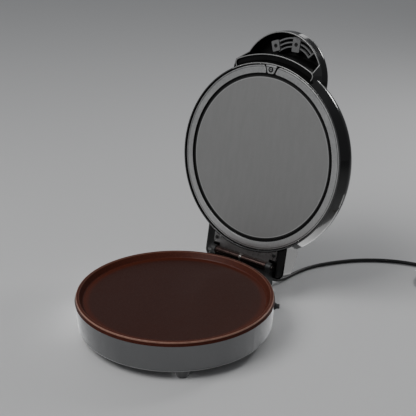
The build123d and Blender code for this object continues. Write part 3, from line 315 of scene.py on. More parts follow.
def make_groups():
    """Builds the groups that the finishes share."""
    zero = (0.0, 0.0, 0.0)

    # Radius, angle and height of a point about an axis that lies in the plane x = 0
    steps, given, out = open_group(
        "Axis place",
        {"Vector": zero, "Origin": zero, "Side": zero, "Up": zero},
        "Radius", "Angle", "Height",
    )
    kind = "ShaderNodeVectorMath"
    apart = steps.add(kind, {0: given["Vector"], 1: given["Origin"]}, operation="SUBTRACT").outputs[0]
    side, height = [
        steps.add(kind, {0: apart, 1: given[key]}, operation="DOT_PRODUCT").outputs["Value"]
        for key in ("Side", "Up")
    ]
    x = steps.add("ShaderNodeSeparateXYZ", {"Vector": apart}).outputs["X"]
    steps.put(out["Radius"], steps.reach(x, side))
    steps.put(out["Angle"], steps.maths("ARCTAN2", side, x))
    steps.put(out["Height"], height)

    # Fine lines left by turning or brushing round an axis, closer across than along
    steps, given, out = open_group(
        "Turned lines",
        {"Radius": 0.0, "Angle": 0.0, "Height": 0.0, "Across": 900.0, "Along": 3.0},
        "Tone", "Bump",
    )
    way = [
        steps.times(given["Radius"], given["Across"]),
        steps.times(steps.maths("SINE", given["Angle"]), given["Along"]),
        steps.plus(steps.times(given["Height"], given["Across"]),
                   steps.times(steps.maths("COSINE", given["Angle"]), given["Along"])),
    ]
    vector = steps.add("ShaderNodeCombineXYZ", zip("XYZ", way)).outputs[0]
    lines = steps.noise(vector, 1.0, 3.0, 0.6)
    steps.put(out["Tone"], steps.spread(lines, 0.3, 0.7))
    steps.put(out["Bump"], lines)

    # Grain of a moulded, blasted or coated surface at two sizes
    steps, given, out = open_group("Fine grain", {"Vector": zero, "Scale": 900.0}, "Tone", "Bump")
    fine = steps.noise(given["Vector"], given["Scale"])
    coarse = steps.noise(given["Vector"], steps.times(given["Scale"], 0.3), 3.0)
    steps.put(out["Tone"], steps.spread(coarse, 0.25, 0.75))
    steps.put(out["Bump"], steps.plus(fine, steps.times(coarse, 0.5)))

    # Marks of wiping and of fingers: wide soft clouds with thin streaks in them
    steps, given, out = open_group("Handling marks", {"Vector": zero}, "Mask")
    scale = 14.0
    cloud = steps.spread(steps.noise(given["Vector"], scale, 4.0, 0.6), 0.45, 0.7)
    thin = steps.noise(steps.stretched(given["Vector"], (9.0, 1.2, 2.4)), scale, 3.0)
    streak = steps.spread(thin, 0.5, 0.75)
    steps.put(out["Mask"], steps.times(cloud, steps.plus(streak, 0.35), clamp=True))

    # A soft line of painted highlight or painted shade where a value passes within reach of a centre,
    # broken by noise
    steps, given, out = open_group(
        "Worn line",
        {"Vector": zero, "Value": 0.0, "Centre": 0.0, "Reach": 0.001, "Breaks": 0.3},
        "Mask",
    )
    away = steps.maths("ABSOLUTE", steps.minus(given["Value"], given["Centre"]))
    line = steps.spread(steps.maths("DIVIDE", away, given["Reach"]), 0.4, 1.0, 1.0, 0.0)
    broken = steps.spread(steps.noise(given["Vector"], 160.0, 4.0, 0.7), 0.35, 0.6)
    kept = steps.minus(1.0, steps.times(given["Breaks"], steps.minus(1.0, broken)))
    steps.put(out["Mask"], steps.times(line, kept, clamp=True))

    # One inside the handle's visor and nought elsewhere: the hollow leans, and widens away from its rim
    steps, given, out = open_group("Visor hollow", {"Vector": zero}, "Mask")
    lean, flare, wall, depth = radians(3.5), 0.24, 0.0020, 0.0182
    place = steps.group(
        "Axis place",
        Vector=given["Vector"],
        Origin=tuple(lid_place((0.0, -VISOR_SETBACK, VISOR_RIM))),
        Side=tuple(LID_SIDE * cos(lean) - LID_UP * sin(lean)),
        Up=tuple(LID_UP * cos(lean) + LID_SIDE * sin(lean)),
    )
    wider = steps.times(steps.maths("MAXIMUM", place["Height"], 0.0), flare)
    within = steps.maths("LESS_THAN", place["Radius"], steps.plus(wider, VISOR_RADIUS - wall))
    steps.put(out["Mask"], steps.times(within, steps.maths("LESS_THAN", place["Height"], depth)))

    # Distance of a point from the hinge's axis, and from the middle of the hinge along it
    steps, given, out = open_group("Hinge place", {"Vector": zero}, "Radius", "Reach")
    xyz = steps.add("ShaderNodeSeparateXYZ", {"Vector": given["Vector"]}).outputs
    radius = steps.reach(steps.minus(xyz["Y"], HINGE_Y), steps.minus(xyz["Z"], HINGE_Z))
    steps.put(out["Radius"], radius)
    steps.put(out["Reach"], steps.maths("ABSOLUTE", xyz["X"]))

    # Small bright or dark flecks in a coating
    steps, given, out = open_group("Flecks", {"Vector": zero, "Scale": 700.0, "Share": 0.2}, "Mask")
    cells = steps.add("ShaderNodeTexVoronoi", {"Vector": given["Vector"], "Scale": given["Scale"]}).outputs
    level = steps.add("ShaderNodeSeparateColor", {0: cells["Color"]}).outputs[0]
    chosen = steps.maths("LESS_THAN", level, given["Share"])
    near = steps.spread(cells["Distance"], 0.1, 0.35, 1.0, 0.0)
    steps.put(out["Mask"], steps.times(chosen, near))


def tone(colour, factor):
    """A colour made lighter or darker."""
    return (*[min(1.0, c * factor) for c in colour[:3]], 1.0)


def grey(level):
    """A colour with no hue."""
    return (level, level, level, 1.0)


def finish(name, colour, metallic=0.0, roughness=0.4, variation=0.12, grain=(900, 0.05), round_axis=None,
           turned_lines=None, lines=(), flecks=None, marks=0.25, coat=0.0, coat_roughness=0.08, ior=1.5,
           fade=None, streaks=None, dull_hollow=False, barrel=None):
    """A procedural finish.

    grain is its scale and depth; round_axis is base or lid; turned_lines is how close they lie across
    and along, and their strength; lines are value name, centre, half width, colour, roughness and
    breaks, each a painted highlight or painted shade along an edge; flecks are scale, share and colour;
    marks is how much wiping shows; fade is value name, from, to and the colour reached there; streaks
    are scale, strength and colour; dull_hollow takes the gloss off inside the visor; barrel is a
    radius about the hinge's axis, the colour within it, which is a painted reflection of the red-brown
    pan, and the colour of the collar in its middle.
    """
    material = bpy.data.materials.new(name)
    material.use_nodes = True
    material.node_tree.nodes.clear()
    steps = Steps(material.node_tree)
    shader = steps.add("ShaderNodeBsdfPrincipled", {"Metallic": metallic, "IOR": ior, "Coat Weight": coat,
                                                    "Coat Roughness": coat_roughness})
    steps.add("ShaderNodeOutputMaterial", {"Surface": shader.outputs[0]})
    place = steps.add("ShaderNodeTexCoord").outputs["Object"]
    fine = steps.group("Fine grain", Vector=place, Scale=grain[0])
    base = steps.blend(fine["Tone"], tone(colour, 1 - variation), tone(colour, 1 + variation))
    rough = steps.spread(fine["Tone"], 0.0, 1.0, roughness * 0.88, roughness * 1.12)
    height = steps.times(fine["Bump"], grain[1])
    if round_axis:
        origin, side, up = {
            "base": ((0.0, BASE_Y, 0.0), (0.0, 1.0, 0.0), (0.0, 0.0, 1.0)),
            "lid": (tuple(LID_ORIGIN), tuple(LID_SIDE), tuple(LID_UP)),
        }[round_axis]
        about = steps.group("Axis place", Vector=place, Origin=origin, Side=side, Up=up)
    if fade:
        base = steps.blend(steps.spread(about[fade[0]], fade[1], fade[2]), base, fade[3])
    if turned_lines:
        across, along, strength = turned_lines
        brushed = steps.group("Turned lines", Radius=about["Radius"], Angle=about["Angle"],
                              Height=about["Height"], Across=across, Along=along)
        base = steps.blend(steps.times(brushed["Tone"], 0.35 * strength), base, tone(colour, 1.6))
        height = steps.plus(height, steps.times(brushed["Bump"], strength))
        rough = steps.plus(rough, steps.times(brushed["Tone"], 0.06 * strength))
    if streaks:
        scale, strength, lighter = streaks
        streak = steps.noise(steps.stretched(place, scale), 1.0, 4.0, 0.6)
        base = steps.blend(steps.spread(streak, 0.35, 0.65, 0.0, strength), base, lighter)
        height = steps.plus(height, steps.times(streak, strength))
    if flecks:
        scale, share, fleck_colour = flecks
        mask = steps.group("Flecks", Vector=place, Scale=scale, Share=share)["Mask"]
        base = steps.blend(mask, base, fleck_colour)
    # Each line is painted light: a light one is a painted highlight on an edge, a dark one painted shade
    for value, centre, half_width, line_colour, line_roughness, breaks in lines:
        mask = steps.group("Worn line", Vector=place, Value=about[value], Centre=centre,
                           Reach=half_width, Breaks=breaks)["Mask"]
        base = steps.blend(mask, base, line_colour)
        rough = steps.mix(mask, rough, line_roughness)
    wiped = steps.group("Handling marks", Vector=place)["Mask"]
    rough = steps.plus(rough, steps.times(wiped, marks * 0.4), clamp=True)
    base = steps.blend(steps.times(wiped, marks * 0.3), base, tone(colour, 1.5))
    # Inside the barrel the colour is a painted reflection of the red-brown pan
    if barrel:
        radius, painted_reflection_colour, collar_colour = barrel
        collar_end, barrel_start = 0.0015, 0.0022
        hinge = steps.group("Hinge place", Vector=place)
        inside = steps.maths("LESS_THAN", hinge["Radius"], radius)
        collar = steps.spread(hinge["Reach"], collar_end, barrel_start, 1.0, 0.0)
        base = steps.blend(inside, base, steps.blend(collar, painted_reflection_colour, collar_colour))
        rough = steps.minus(rough, steps.times(inside, 0.06))
    if dull_hollow:
        inner = steps.group("Visor hollow", Vector=place)["Mask"]
        rough = steps.maths("MAXIMUM", rough, steps.times(inner, 0.62))
        steps.put(shader.inputs["Coat Weight"], steps.minus(coat, steps.times(inner, coat)))
    bump = steps.add("ShaderNodeBump", {"Height": height, "Strength": 0.35, "Distance": 0.0004})
    for key, value in (("Base Color", base), ("Roughness", rough), ("Normal", bump.outputs[0])):
        steps.put(shader.inputs[key], value)
    return material


def dress(material, *names):
    """Gives CAD nodes a finish in their own slots."""
    for name in names:
        slots = nodes[name].data.materials
        slots.clear()
        slots.append(material)


# Sizes and colours that a user would change
def amount(label, text, default, unit="LENGTH"):
    return bpy.props.FloatProperty(name=label, description=text, default=default, min=0.0, unit=unit,
                                   precision=4)


def paint(label, text, default):
    return bpy.props.FloatVectorProperty(name=label, description=text, default=(*default, 1.0), size=4,
                                         subtype="COLOR", min=0.0, max=1.0)


class PizzaMakerSizes(bpy.types.PropertyGroup):
    """Sizes of the fine pieces."""

    cord_diameter: amount("Cord diameter", "Across the mains cord", 0.0065)
    bead_radius: amount("Edge bead", "Radius of the rounded edges of the lid's shell", 0.0010)
    ring_edge: amount("Ring edge", "Rounding of the retaining ring's edges", 0.0005)
    screw_head: amount("Screw head", "Radius of the screw heads", 0.0035)
    recess_depth: amount("Recess depth", "Depth of the cross in a screw head", 0.0011)


class PizzaMakerColours(bpy.types.PropertyGroup):
    """Colours of the finishes."""

    drum: paint("Drum steel", "Satin steel of the base's drum", (0.19, 0.192, 0.195))
    coating: paint("Pan coating", "Red-brown coating of the pan", (0.070, 0.0145, 0.0065))
    band: paint("Band coating", "Red-brown coating of the trim band", (0.050, 0.0105, 0.0050))
    plate: paint("Lid plate", "Grey coating of the lid's plate", (0.235, 0.235, 0.232))
    steel: paint("Grey steel", "Satin steel of the ring, clip and hinge leaf", (0.50, 0.50, 0.495))
    gloss: paint("Gloss black", "Glossy black of the lid's shell", (0.0035, 0.0035, 0.0035))
    plastic: paint("Black plastic", "Moulded black plastic", (0.012, 0.012, 0.012))
    # The grip's grey is partly its own and partly a painted highlight on the ribs
    grip: paint("Grip grey", "Ribbed insert under the handle", (0.15, 0.15, 0.15))
    cord: paint("Cord black", "Jacket of the mains cord", (0.010, 0.010, 0.010))


class PizzaMakerStudio(bpy.types.PropertyGroup):
    """The floor and the lights."""

    floor: paint("Floor", "Pale floor", (0.60, 0.60, 0.60))
    key_power: amount("Key light", "Power of the large light over the front", 46.0, "POWER")
    side_power: amount("Side lights", "Power that the back and side lights share", 22.0, "POWER")
    world: amount("World", "Strength of the even light from all around", 0.28, "NONE")


def sizes():
    return bpy.context.scene.pizza_maker_sizes


def colour(name):
    return tuple(getattr(bpy.context.scene.pizza_maker_colours, name))


class PIZZAMAKER_OT_camera(bpy.types.Operator):
    """Puts the camera where the photograph was taken from"""

    bl_idname = "pizza_maker.camera"
    bl_label = "Camera"

    def execute(self, context):
        turn, lift, roll = radians(38.808), radians(22.559), radians(0.514)
        back = Vector((sin(turn) * cos(lift), -cos(turn) * cos(lift), sin(lift)))
        right = Vector((cos(turn), sin(turn), 0.0))
        up = back.cross(right)
        right, up = right * cos(roll) + up * sin(roll), up * cos(roll) - right * sin(roll)
        lens = bpy.data.cameras.new("photo_camera")
        lens.lens, lens.sensor_width = 85.36, 36.0
        camera = bpy.data.objects.new("photo_camera", lens)
        context.scene.collection.objects.link(camera)
        spot = Matrix((right, up, back)).transposed().to_4x4()
        spot.translation = (0.9629, -1.1915, 0.8334)
        camera.matrix_world = spot
        context.scene.camera = camera
        return {"FINISHED"}


# The cord's route and its coil, about the base's axis
CORD_START = (0.030004, 0.193816, 0.0250)
CORD_POINTS = (
    (0.0330, 0.2125, 0.0250), (0.0355, 0.2305, 0.0175), (0.0370, 0.2490, 0.0080), (0.0375, 0.2710, 0.0036),
    (0.0390, 0.3040, 0.0034), (0.0470, 0.3450, 0.0034), (0.0680, 0.3850, 0.0034), (0.0990, 0.4270, 0.0034),
    (0.1400, 0.4610, 0.0034), (0.1880, 0.4830, 0.0034), (0.2380, 0.4905, 0.0036),
)
COIL_MIDDLE = (0.266, 0.452)
COIL_TURNS = 3.25
COIL_OUTER, COIL_INNER, COIL_LOW, COIL_HIGH = 0.0391, 0.0325, 0.00425, 0.01085
FREE_POINTS = ((0.3050, 0.4380, 0.01075), (0.3050, 0.4180, 0.0075))


def coil_points():
    """The coil's turns, clockwise from the side away from the appliance.

    The radius steps in and out and the height steps up, each along a smooth step of the turn, at places
    where no other turn is beside the cord. 16 points go round once, drawn out a little, because the
    spline runs inside them.
    """
    turn = np.arange(1, int(COIL_TURNS * 16)) / 16
    inwards = ease(turn, 0.78, 1.0) - ease(turn, 2.28, 2.5)
    radius = COIL_OUTER + (COIL_INNER - COIL_OUTER) * inwards
    height = COIL_LOW + (COIL_HIGH - COIL_LOW) * ease(turn, 1.5, 1.75)
    angle = pi / 2 - 2 * pi * turn
    drawn_out = radius / 0.981
    x, y = COIL_MIDDLE[0] + drawn_out * np.cos(angle), COIL_MIDDLE[1] + drawn_out * np.sin(angle)
    return [tuple(p) for p in np.stack([x, y, height], -1)]


def relief(length_m, root, tip, grooves):
    """A tapered strain relief: the radius follows its length and dips in each groove by a cosine bell."""
    half_width, depth = 0.038, 0.0011
    along = np.linspace(0, 1, 140)
    radius = root + (tip - root) * along ** 0.8
    for groove in np.linspace(0.22, 0.9, grooves):
        dip = np.clip(1 - np.abs(along - groove) / half_width, 0, 1)
        radius -= depth * (0.5 - 0.5 * np.cos(pi * dip))
    radius[-6:] -= 0.0005 * np.linspace(0, 1, 6) ** 2
    return turned(np.stack([radius, along * length_m], -1), 40)


class PIZZAMAKER_OT_cord(bpy.types.Operator):
    """Lays the mains cord with its strain reliefs, tie and plug"""

    bl_idname = "pizza_maker.cord"
    bl_label = "Cord and plug"

    def execute(self, context):
        diameter = sizes().cord_diameter
        rubber = finish("cord_rubber", colour("cord"), roughness=0.42, variation=0.2,
                        grain=(2600, 0.15), marks=0.4)
        moulded = finish("plug_rubber", tone(colour("cord"), 1.15), roughness=0.38, variation=0.15,
                         grain=(1800, 0.2), marks=0.4)
        route = [(x, y + BASE_Y, z) for x, y, z in
                 (CORD_START, *CORD_POINTS, (COIL_MIDDLE[0] - 0.014, COIL_MIDDLE[1] + 0.039, COIL_LOW),
                  (COIL_MIDDLE[0], COIL_MIDDLE[1] + COIL_OUTER, COIL_LOW), *coil_points(), *FREE_POINTS)]
        line = bpy.data.curves.new("power_flex", "CURVE")
        line.dimensions = "3D"
        spline = line.splines.new("NURBS")
        spline.points.add(len(route) - 1)
        spline.points.foreach_set("co", np.array([(*p, 1.0) for p in route]).ravel())
        spline.order_u = 3
        spline.use_endpoint_u = True
        spline.resolution_u = 10
        line.bevel_depth = diameter / 2
        line.bevel_resolution = 6
        line.use_fill_caps = True
        line.materials.append(rubber)
        flex = bpy.data.objects.new("power_flex", line)
        context.scene.collection.objects.link(flex)
        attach(flex, "base")
        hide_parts("power_cord", "cord_coil", "cord_end")

        exit_turn, exit_depth = radians(81.2), 0.032
        out = np.array((cos(exit_turn), sin(exit_turn), 0.0))
        wall = np.array(CORD_START) - out * exit_depth
        sleeve = relief(0.0325, 0.0052, 0.0042, 6)
        sleeve[0][:, 2] -= 0.0005
        inner = turned([(0, -0.005), (0.005, -0.005), (0.005, 0.0008), (0, 0.0008)], 32)
        flange = slab(disc(0.0065, 40), 0.0006, 0.0026, 0.0007)
        guard = piece("cord_guard", joined([sleeve, inner, flange]), "base", moulded,
                      ["strain_relief"], stand_on(base_place(wall), out))
        at_plug = stand_on(base_place(FREE_POINTS[-1]), (0.0, -1.0, 0.0))
        plug_guard = piece("plug_guard", relief(0.0199, 0.0042, 0.0050, 4), "base", moulded,
                           ["plug_strain_relief"], at_plug)
        plug = piece("plug_grip", self.plug_shape(), "base", moulded, ["plug_body"],
                     at_plug)
        brass = finish("pin_brass", (0.62, 0.46, 0.22, 1), metallic=1.0, roughness=0.28,
                       grain=(1500, 0.1))
        dress(brass, "plug_pins")
        dress(finish("tie_plastic", colour("plastic"), roughness=0.35, grain=(2200, 0.1)), "cord_tie")
        base_place(CORD_START)
        return {"FINISHED"}

    def plug_shape(self):
        """A plug body: round rectangles carried along its length.

        Both sides widen by a smooth step, the wide ones are pinched by five cosine ridges, and a circle's
        height less than its radius rounds both ends.
        """
        start, length_m = 0.02005, 0.04195
        along = np.linspace(0, 1, 90)
        grow = ease(along, 0.0, 0.6)
        ridges = 0.0006 * (0.5 - 0.5 * np.cos(np.clip((along - 0.18) / 0.42, 0, 1) * 2 * pi * 5))
        half_x = 0.0102 + 0.0068 * grow - ridges
        half_z = 0.0056 + 0.0019 * grow
        near_end = np.clip((np.abs(along - 0.5) - 0.45) / 0.05, 0, 1)
        inset = 0.0016 * (1 - np.sqrt(1 - near_end ** 2 * 0.98))
        rows = []
        for share, x, z, less in zip(along, half_x, half_z, inset):
            outline = rounded_outline(x - less, z - less, min(0.005, z - less - 0.0004), 9)
            rows.append(at_height(outline, start + share * length_m))
        return skin(np.array(rows))


class PIZZAMAKER_OT_base(bpy.types.Operator):
    """Finishes the base, and the heaters, switch and lesser screws of base and lid"""

    bl_idname = "pizza_maker.base"
    bl_label = "Base"

    def execute(self, context):
        drum = finish("satin_steel", colour("drum"), metallic=1.0, roughness=0.46, variation=0.03,
                      grain=(500, 0.004), round_axis="base", turned_lines=(900, 0.9, 0.05), marks=0.12)
        dress(drum, "base_drum")
        # The light line along the band's top edge is a painted highlight
        band_highlight_edge = 0.0679
        band = finish("dark_coating", colour("band"), roughness=0.34, variation=0.15, grain=(700, 0.06),
                      round_axis="base", ior=1.27, coat=0.03, marks=0.1,
                      lines=[("Height", band_highlight_edge, 0.0007, (0.30, 0.16, 0.12, 1), 0.3, 0.35)])
        dress(band, "rim_band")
        # The light lines at the pan's rim and at the flange's edge are painted highlights
        rim_highlight_radius, flange_highlight_radius, slope, floor = pan_high.x - 0.0003, 0.1600, 0.150, 0.140
        pan = finish("pan_coating", colour("coating"), roughness=0.40, variation=0.2, grain=(1100, 0.10),
                     round_axis="base", turned_lines=(520, 1.0, 0.15), ior=1.29, coat=0.03, marks=0.15,
                     flecks=(900, 0.05, (0.20, 0.08, 0.05, 1)),
                     fade=("Radius", slope, floor, (0.040, 0.0125, 0.0085, 1)),
                     lines=[("Radius", rim_highlight_radius, 0.0008, (0.34, 0.19, 0.14, 1), 0.25, 0.3),
                            ("Radius", flange_highlight_radius, 0.0006, (0.20, 0.09, 0.06, 1), 0.25, 0.4)])
        dress(pan, "lower_pan")
        # The hem is a real rolled edge, but its pale colour, lighter than the drum's steel, is a painted
        # highlight
        hem_radius, hem_height, hem_thickness = 0.1606, 0.01565, 0.0006
        hem = finish("hem_steel", grey(0.55), metallic=0.5, roughness=0.35, variation=0.05, marks=0.15)
        edge = at_height(arc((0, 0), hem_radius, 0, 358.5, 240), hem_height)
        piece("drum_hem", bead(edge, (0, 0, 1), hem_thickness), "base", hem)
        cover = finish("cover_steel", grey(0.30), metallic=1.0, roughness=0.38, grain=(380, 0.08),
                       round_axis="base", marks=0.5, streaks=((6, 260, 6), 0.2, grey(0.4)))
        dress(cover, "bottom_cover")
        foot = finish("foot_plastic", (0.055, 0.055, 0.056, 1), roughness=0.30, grain=(1600, 0.10),
                      coat=0.5, coat_roughness=0.12, marks=0.3)
        dress(foot, "foot_rear_right", "foot_rear_left", "foot_front_left", "foot_front_right")
        for name, shade, metallic, roughness, variation, grain, marks, names in (
            ("black_plastic", colour("plastic"), 0.0, 0.40, 0.2, (1500, 0.25), 0.4,
             ("switch_body", "power_button", "hinge_bracket")),
            ("screw_steel", grey(0.36), 1.0, 0.3, 0.12, (1800, 0.12), 0.3,
             ("bracket_screws", "terminal_screws", "frame_screws", "upper_shield_screws")),
            ("heater_steel", (0.16, 0.145, 0.13, 1), 0.85, 0.45, 0.25, (600, 0.3), 0.5,
             ("lower_heating_element", "upper_heating_element")),
            ("shield_steel", grey(0.34), 1.0, 0.36, 0.12, (500, 0.1), 0.5,
             ("lower_heat_shield", "upper_heat_shield", "lower_thermostat", "upper_thermostat")),
            ("block_plastic", (0.55, 0.53, 0.47, 1), 0.0, 0.5, 0.12, (1300, 0.2), 0.3,
             ("terminal_block",)),
        ):
            dress(finish(name, shade, metallic, roughness, variation, grain, marks=marks), *names)
        return {"FINISHED"}


class PIZZAMAKER_OT_lid(bpy.types.Operator):
    """Finishes the lid's shell, plate, frame and tail"""

    bl_idname = "pizza_maker.lid"
    bl_label = "Lid"

    def execute(self, context):
        gloss = finish("black_gloss", colour("gloss"), roughness=0.14, variation=0.1, grain=(90, 0.008),
                       coat=0.55, coat_roughness=0.05, marks=0.08, ior=1.22, dull_hollow=True)
        dress(gloss, "lid_shell")
        trim = finish("trim_gloss", tone(colour("gloss"), 1.2), roughness=0.35, variation=0.1,
                      grain=(400, 0.02), ior=1.25, marks=0.1)
        dress(trim, "front_trim")
        groove_shade_radius, bevel_highlight_radius, frame_highlight_radius = 0.1444, 0.1423, 0.1654
        # The dark line at the plate's edge is painted shade from the groove, the light one on its bevel a
        # painted highlight
        plate = finish("grey_coating", colour("plate"), metallic=0.35, roughness=0.46, variation=0.03,
                       grain=(1500, 0.07), round_axis="lid", marks=0.06,
                       streaks=((140, 140, 2), 0.10, tone(colour("plate"), 1.4)),
                       lines=[("Radius", groove_shade_radius, 0.0015, grey(0.012), 0.5, 0.0),
                              ("Radius", bevel_highlight_radius, 0.0006, grey(0.42), 0.3, 0.2)])
        dress(plate, "upper_plate")
        # The light line near the frame's outer edge is a painted highlight
        black = finish("frame_black", tone(colour("plastic"), 0.5), roughness=0.45, grain=(1500, 0.15),
                       ior=1.3, round_axis="lid", marks=0.15,
                       lines=[("Radius", frame_highlight_radius, 0.0005, grey(0.20), 0.3, 0.2)])
        dress(black, "lid_frame", "tail_plate")
        return {"FINISHED"}


class PIZZAMAKER_OT_lid_edges(bpy.types.Operator):
    """Rounds the visible edges of the lid's shell, with painted highlights on the crescent, lip and visor
    rim
    """

    bl_idname = "pizza_maker.lid_edges"
    bl_label = "Lid edges"

    def execute(self, context):
        radius = sizes().bead_radius
        dark = finish("edge_gloss", grey(0.05), roughness=0.2, variation=0.1, grain=(500, 0.02),
                      coat=0.5, marks=0.2)
        # The pale beads on the crescent, lip and visor rim are painted highlights along the black shell's
        # edges
        light = finish("edge_worn", (0.30, 0.30, 0.295, 1), metallic=0.3, roughness=0.3, variation=0.1,
                       marks=0.2)
        upright, outwards = (0, 0, 1), (0, 0.3, 1)
        for name, path, up, thickness, material in (
            ("lid_edge_bead", self.shell_path(-61, 241), upright, radius, dark),
            ("crescent_bead", self.shell_path(241, 299), upright, radius, light),
            ("lip_bead", self.lip_path(0.00125), upright, radius, light),
            ("visor_bead", self.visor_path(0.0012), outwards, radius * 1.1, light),
        ):
            piece(name, bead(path, up, thickness, closed=False), "lid", material)
        return {"FINISHED"}

    def shell_path(self, first, last):
        """The shell's lower edge: an arc between two angles."""
        return at_height(arc((0, 0), SHELL_RADIUS, first, last, 260), SHELL_EDGE)

    def lip_path(self, inset):
        """The lip's lower edge: a wide arc, a round corner at each end, and a run to the lid's edge."""
        corner = LIP_CORNER - inset
        reach = LIP_RADIUS - LIP_CORNER
        middle = -90 + LIP_ANGLE - np.degrees(np.arcsin(LIP_CORNER / reach))
        centre = reach * np.array([cos(radians(middle)), sin(radians(middle))])
        front = arc((0, 0), LIP_RADIUS - inset, -90, middle, 80)
        turn = arc(centre, corner, middle, LIP_ANGLE, 24)
        inward = -np.array([cos(radians(LIP_ANGLE - 90)), sin(radians(LIP_ANGLE - 90))])
        run = turn[-1] + inward * np.linspace(0.0005, 0.0060, 8)[:, None]
        right = np.concatenate([front[1:], turn[1:], run], 0)
        return at_height(evenly(np.concatenate([right[::-1] * (-1, 1), right], 0), 240), LIP_EDGE)

    def visor_path(self, inset):
        """The visor's rim: an arc whose ends go on round it and straight down to the lip."""
        radius = VISOR_RADIUS - inset
        top, foot = 0.177 - VISOR_SETBACK, 0.1635 - VISOR_SETBACK  # where the slope starts and ends
        turn = np.degrees(np.arcsin(top / radius))
        rim = at_height(arc((0, -VISOR_SETBACK), radius, 270, 360 - turn, 90), VISOR_RIM)
        share = np.linspace(0, 1, 40)[1:]
        back = top + (foot - top) * share
        slope = np.stack([np.sqrt(radius ** 2 - back ** 2), -VISOR_SETBACK - back,
                          VISOR_RIM + (LIP_EDGE - VISOR_RIM) * share], -1)
        right = np.concatenate([rim[1:], slope], 0)
        return evenly(np.concatenate([right[::-1] * (-1, 1, 1), right], 0), 300)


def evenly(points, count):
    """An open run of points spaced evenly along its length by straight interpolation."""
    steps = np.concatenate([[0], np.cumsum(np.linalg.norm(np.diff(points, axis=0), axis=1))])
    at = np.linspace(0, steps[-1], count)
    return np.stack([np.interp(at, steps, points[:, k]) for k in range(points.shape[1])], -1)


class PIZZAMAKER_OT_ring(bpy.types.Operator):
    """Makes the grey retaining ring and the clip in its gap"""

    bl_idname = "pizza_maker.ring"
    bl_label = "Ring and clip"

    def execute(self, context):
        # The dark line near the ring's outer edge is painted shade from the groove
        ring_shade_radius = 0.1612
        steel = finish("grey_steel", colour("steel"), metallic=0.9, roughness=0.34, variation=0.06,
                       grain=(1100, 0.12), round_axis="lid",
                       streaks=((300, 300, 3), 0.12, tone(colour("steel"), 1.4)),
                       lines=[("Radius", ring_shade_radius, 0.0006, grey(0.05), 0.4, 0.1)])
        piece("ring_plate", self.ring_shape(), "lid", steel, ["retaining_ring"])
        half_wide, half_deep = 0.0093, 0.00775
        outline = rounded_outline(half_wide, half_deep, 0.0030)
        outline[:, 0] *= 1 - 0.32 * outline[:, 1] / half_deep
        clip = slab(outline - (0.0, CLIP_RADIUS + 0.00075), 0.0042, 0.0064, 0.0005)
        piece("clip_plate", clip, "lid", steel, ["front_clip"])
        washer = slab(disc(0.0050, 48) - (0.0, CLIP_RADIUS), 0.0037, 0.0045, 0.0003)
        dark = finish("washer_black", grey(0.012), metallic=0.6, roughness=0.4, grain=(1800, 0.1))
        piece("clip_washer", washer, "lid", dark)
        return {"FINISHED"}

    def ring_shape(self):
        """An open ring: a round-cornered section carried round the lid's axis.

        The section narrows to a quarter circle at both ends, and its last 22 degrees lean by up to
        1.2 degrees, so that the ends stand a little askew.
        """
        first, last, corner = -90 + 4.4, 270 - 4.4, 0.0035
        near = np.linspace(0, 1, 14) ** 2 * 1.4
        between = np.linspace(first + 2.2, last - 2.2, 260)
        angles = np.concatenate([first + near, between, last - near[::-1]])
        run = np.radians(np.minimum(angles - first, last - angles)) * CLIP_RADIUS
        inside = np.clip(corner - run, 0, corner)
        half = RING_HALF_WIDTH - corner + np.sqrt(corner ** 2 - inside ** 2)
        outline = rounded_outline(RING_HALF_WIDTH, RING_HALF_HEIGHT, sizes().ring_edge, 5)
        rows = []
        for angle, width in zip(np.radians(angles), half):
            across, up = outline.T
            across = np.sign(across) * np.maximum(np.abs(across) - (RING_HALF_WIDTH - width), 0.0)
            end = min(angle + pi / 2, 1.5 * pi - angle)
            lean = np.sign(pi / 2 - angle) * radians(1.2) * max(0.0, 1 - end / radians(22))
            turn, reach = angle + lean * across / RING_HALF_WIDTH, RING_RADIUS + across
            rows.append(np.stack([reach * np.cos(turn), reach * np.sin(turn), RING_MIDDLE + up], -1))
        return skin(np.array(rows))


def screw_shape(head_radius, head_height, shank):
    """A pan-head screw, head up from zero: a low dome whose cross is pressed in, and a shank below.

    The head's height over a point is a dome less the depth of the cross, which is the larger of two
    soft-sided bars; the bars fade out towards the head's edge.
    """
    depth = sizes().recess_depth
    reach = np.linspace(0, 1, 22)
    angles = circle(56)
    x = head_radius * reach[:, None] * np.cos(angles)
    y = head_radius * reach[:, None] * np.sin(angles)
    dome = head_height * (0.55 + 0.45 * np.sqrt(np.clip(1 - reach ** 2 * 0.999, 0, 1)))[:, None]
    wide, long, soft = head_radius * 0.13, head_radius * 0.62, head_radius * 0.07 / 2.2

    def inside(value, half):
        return 1 / (1 + np.exp((np.abs(value) - half) / soft))

    cross = np.maximum(inside(x, wide) * inside(y, long), inside(y, wide) * inside(x, long))
    top = np.stack([x, y, dome - depth * cross], -1)
    rim, foot, thread = (head_radius, 0.25 * head_height), head_radius * 0.985, 0.00175
    side = (rim, (foot, 0), (thread, 0), (thread, -shank), (0, -shank))
    rows = [at_height(disc(radius, len(angles)), height) for radius, height in side]
    return skin(np.concatenate([top, np.array(rows)], 0), caps=(False, False))


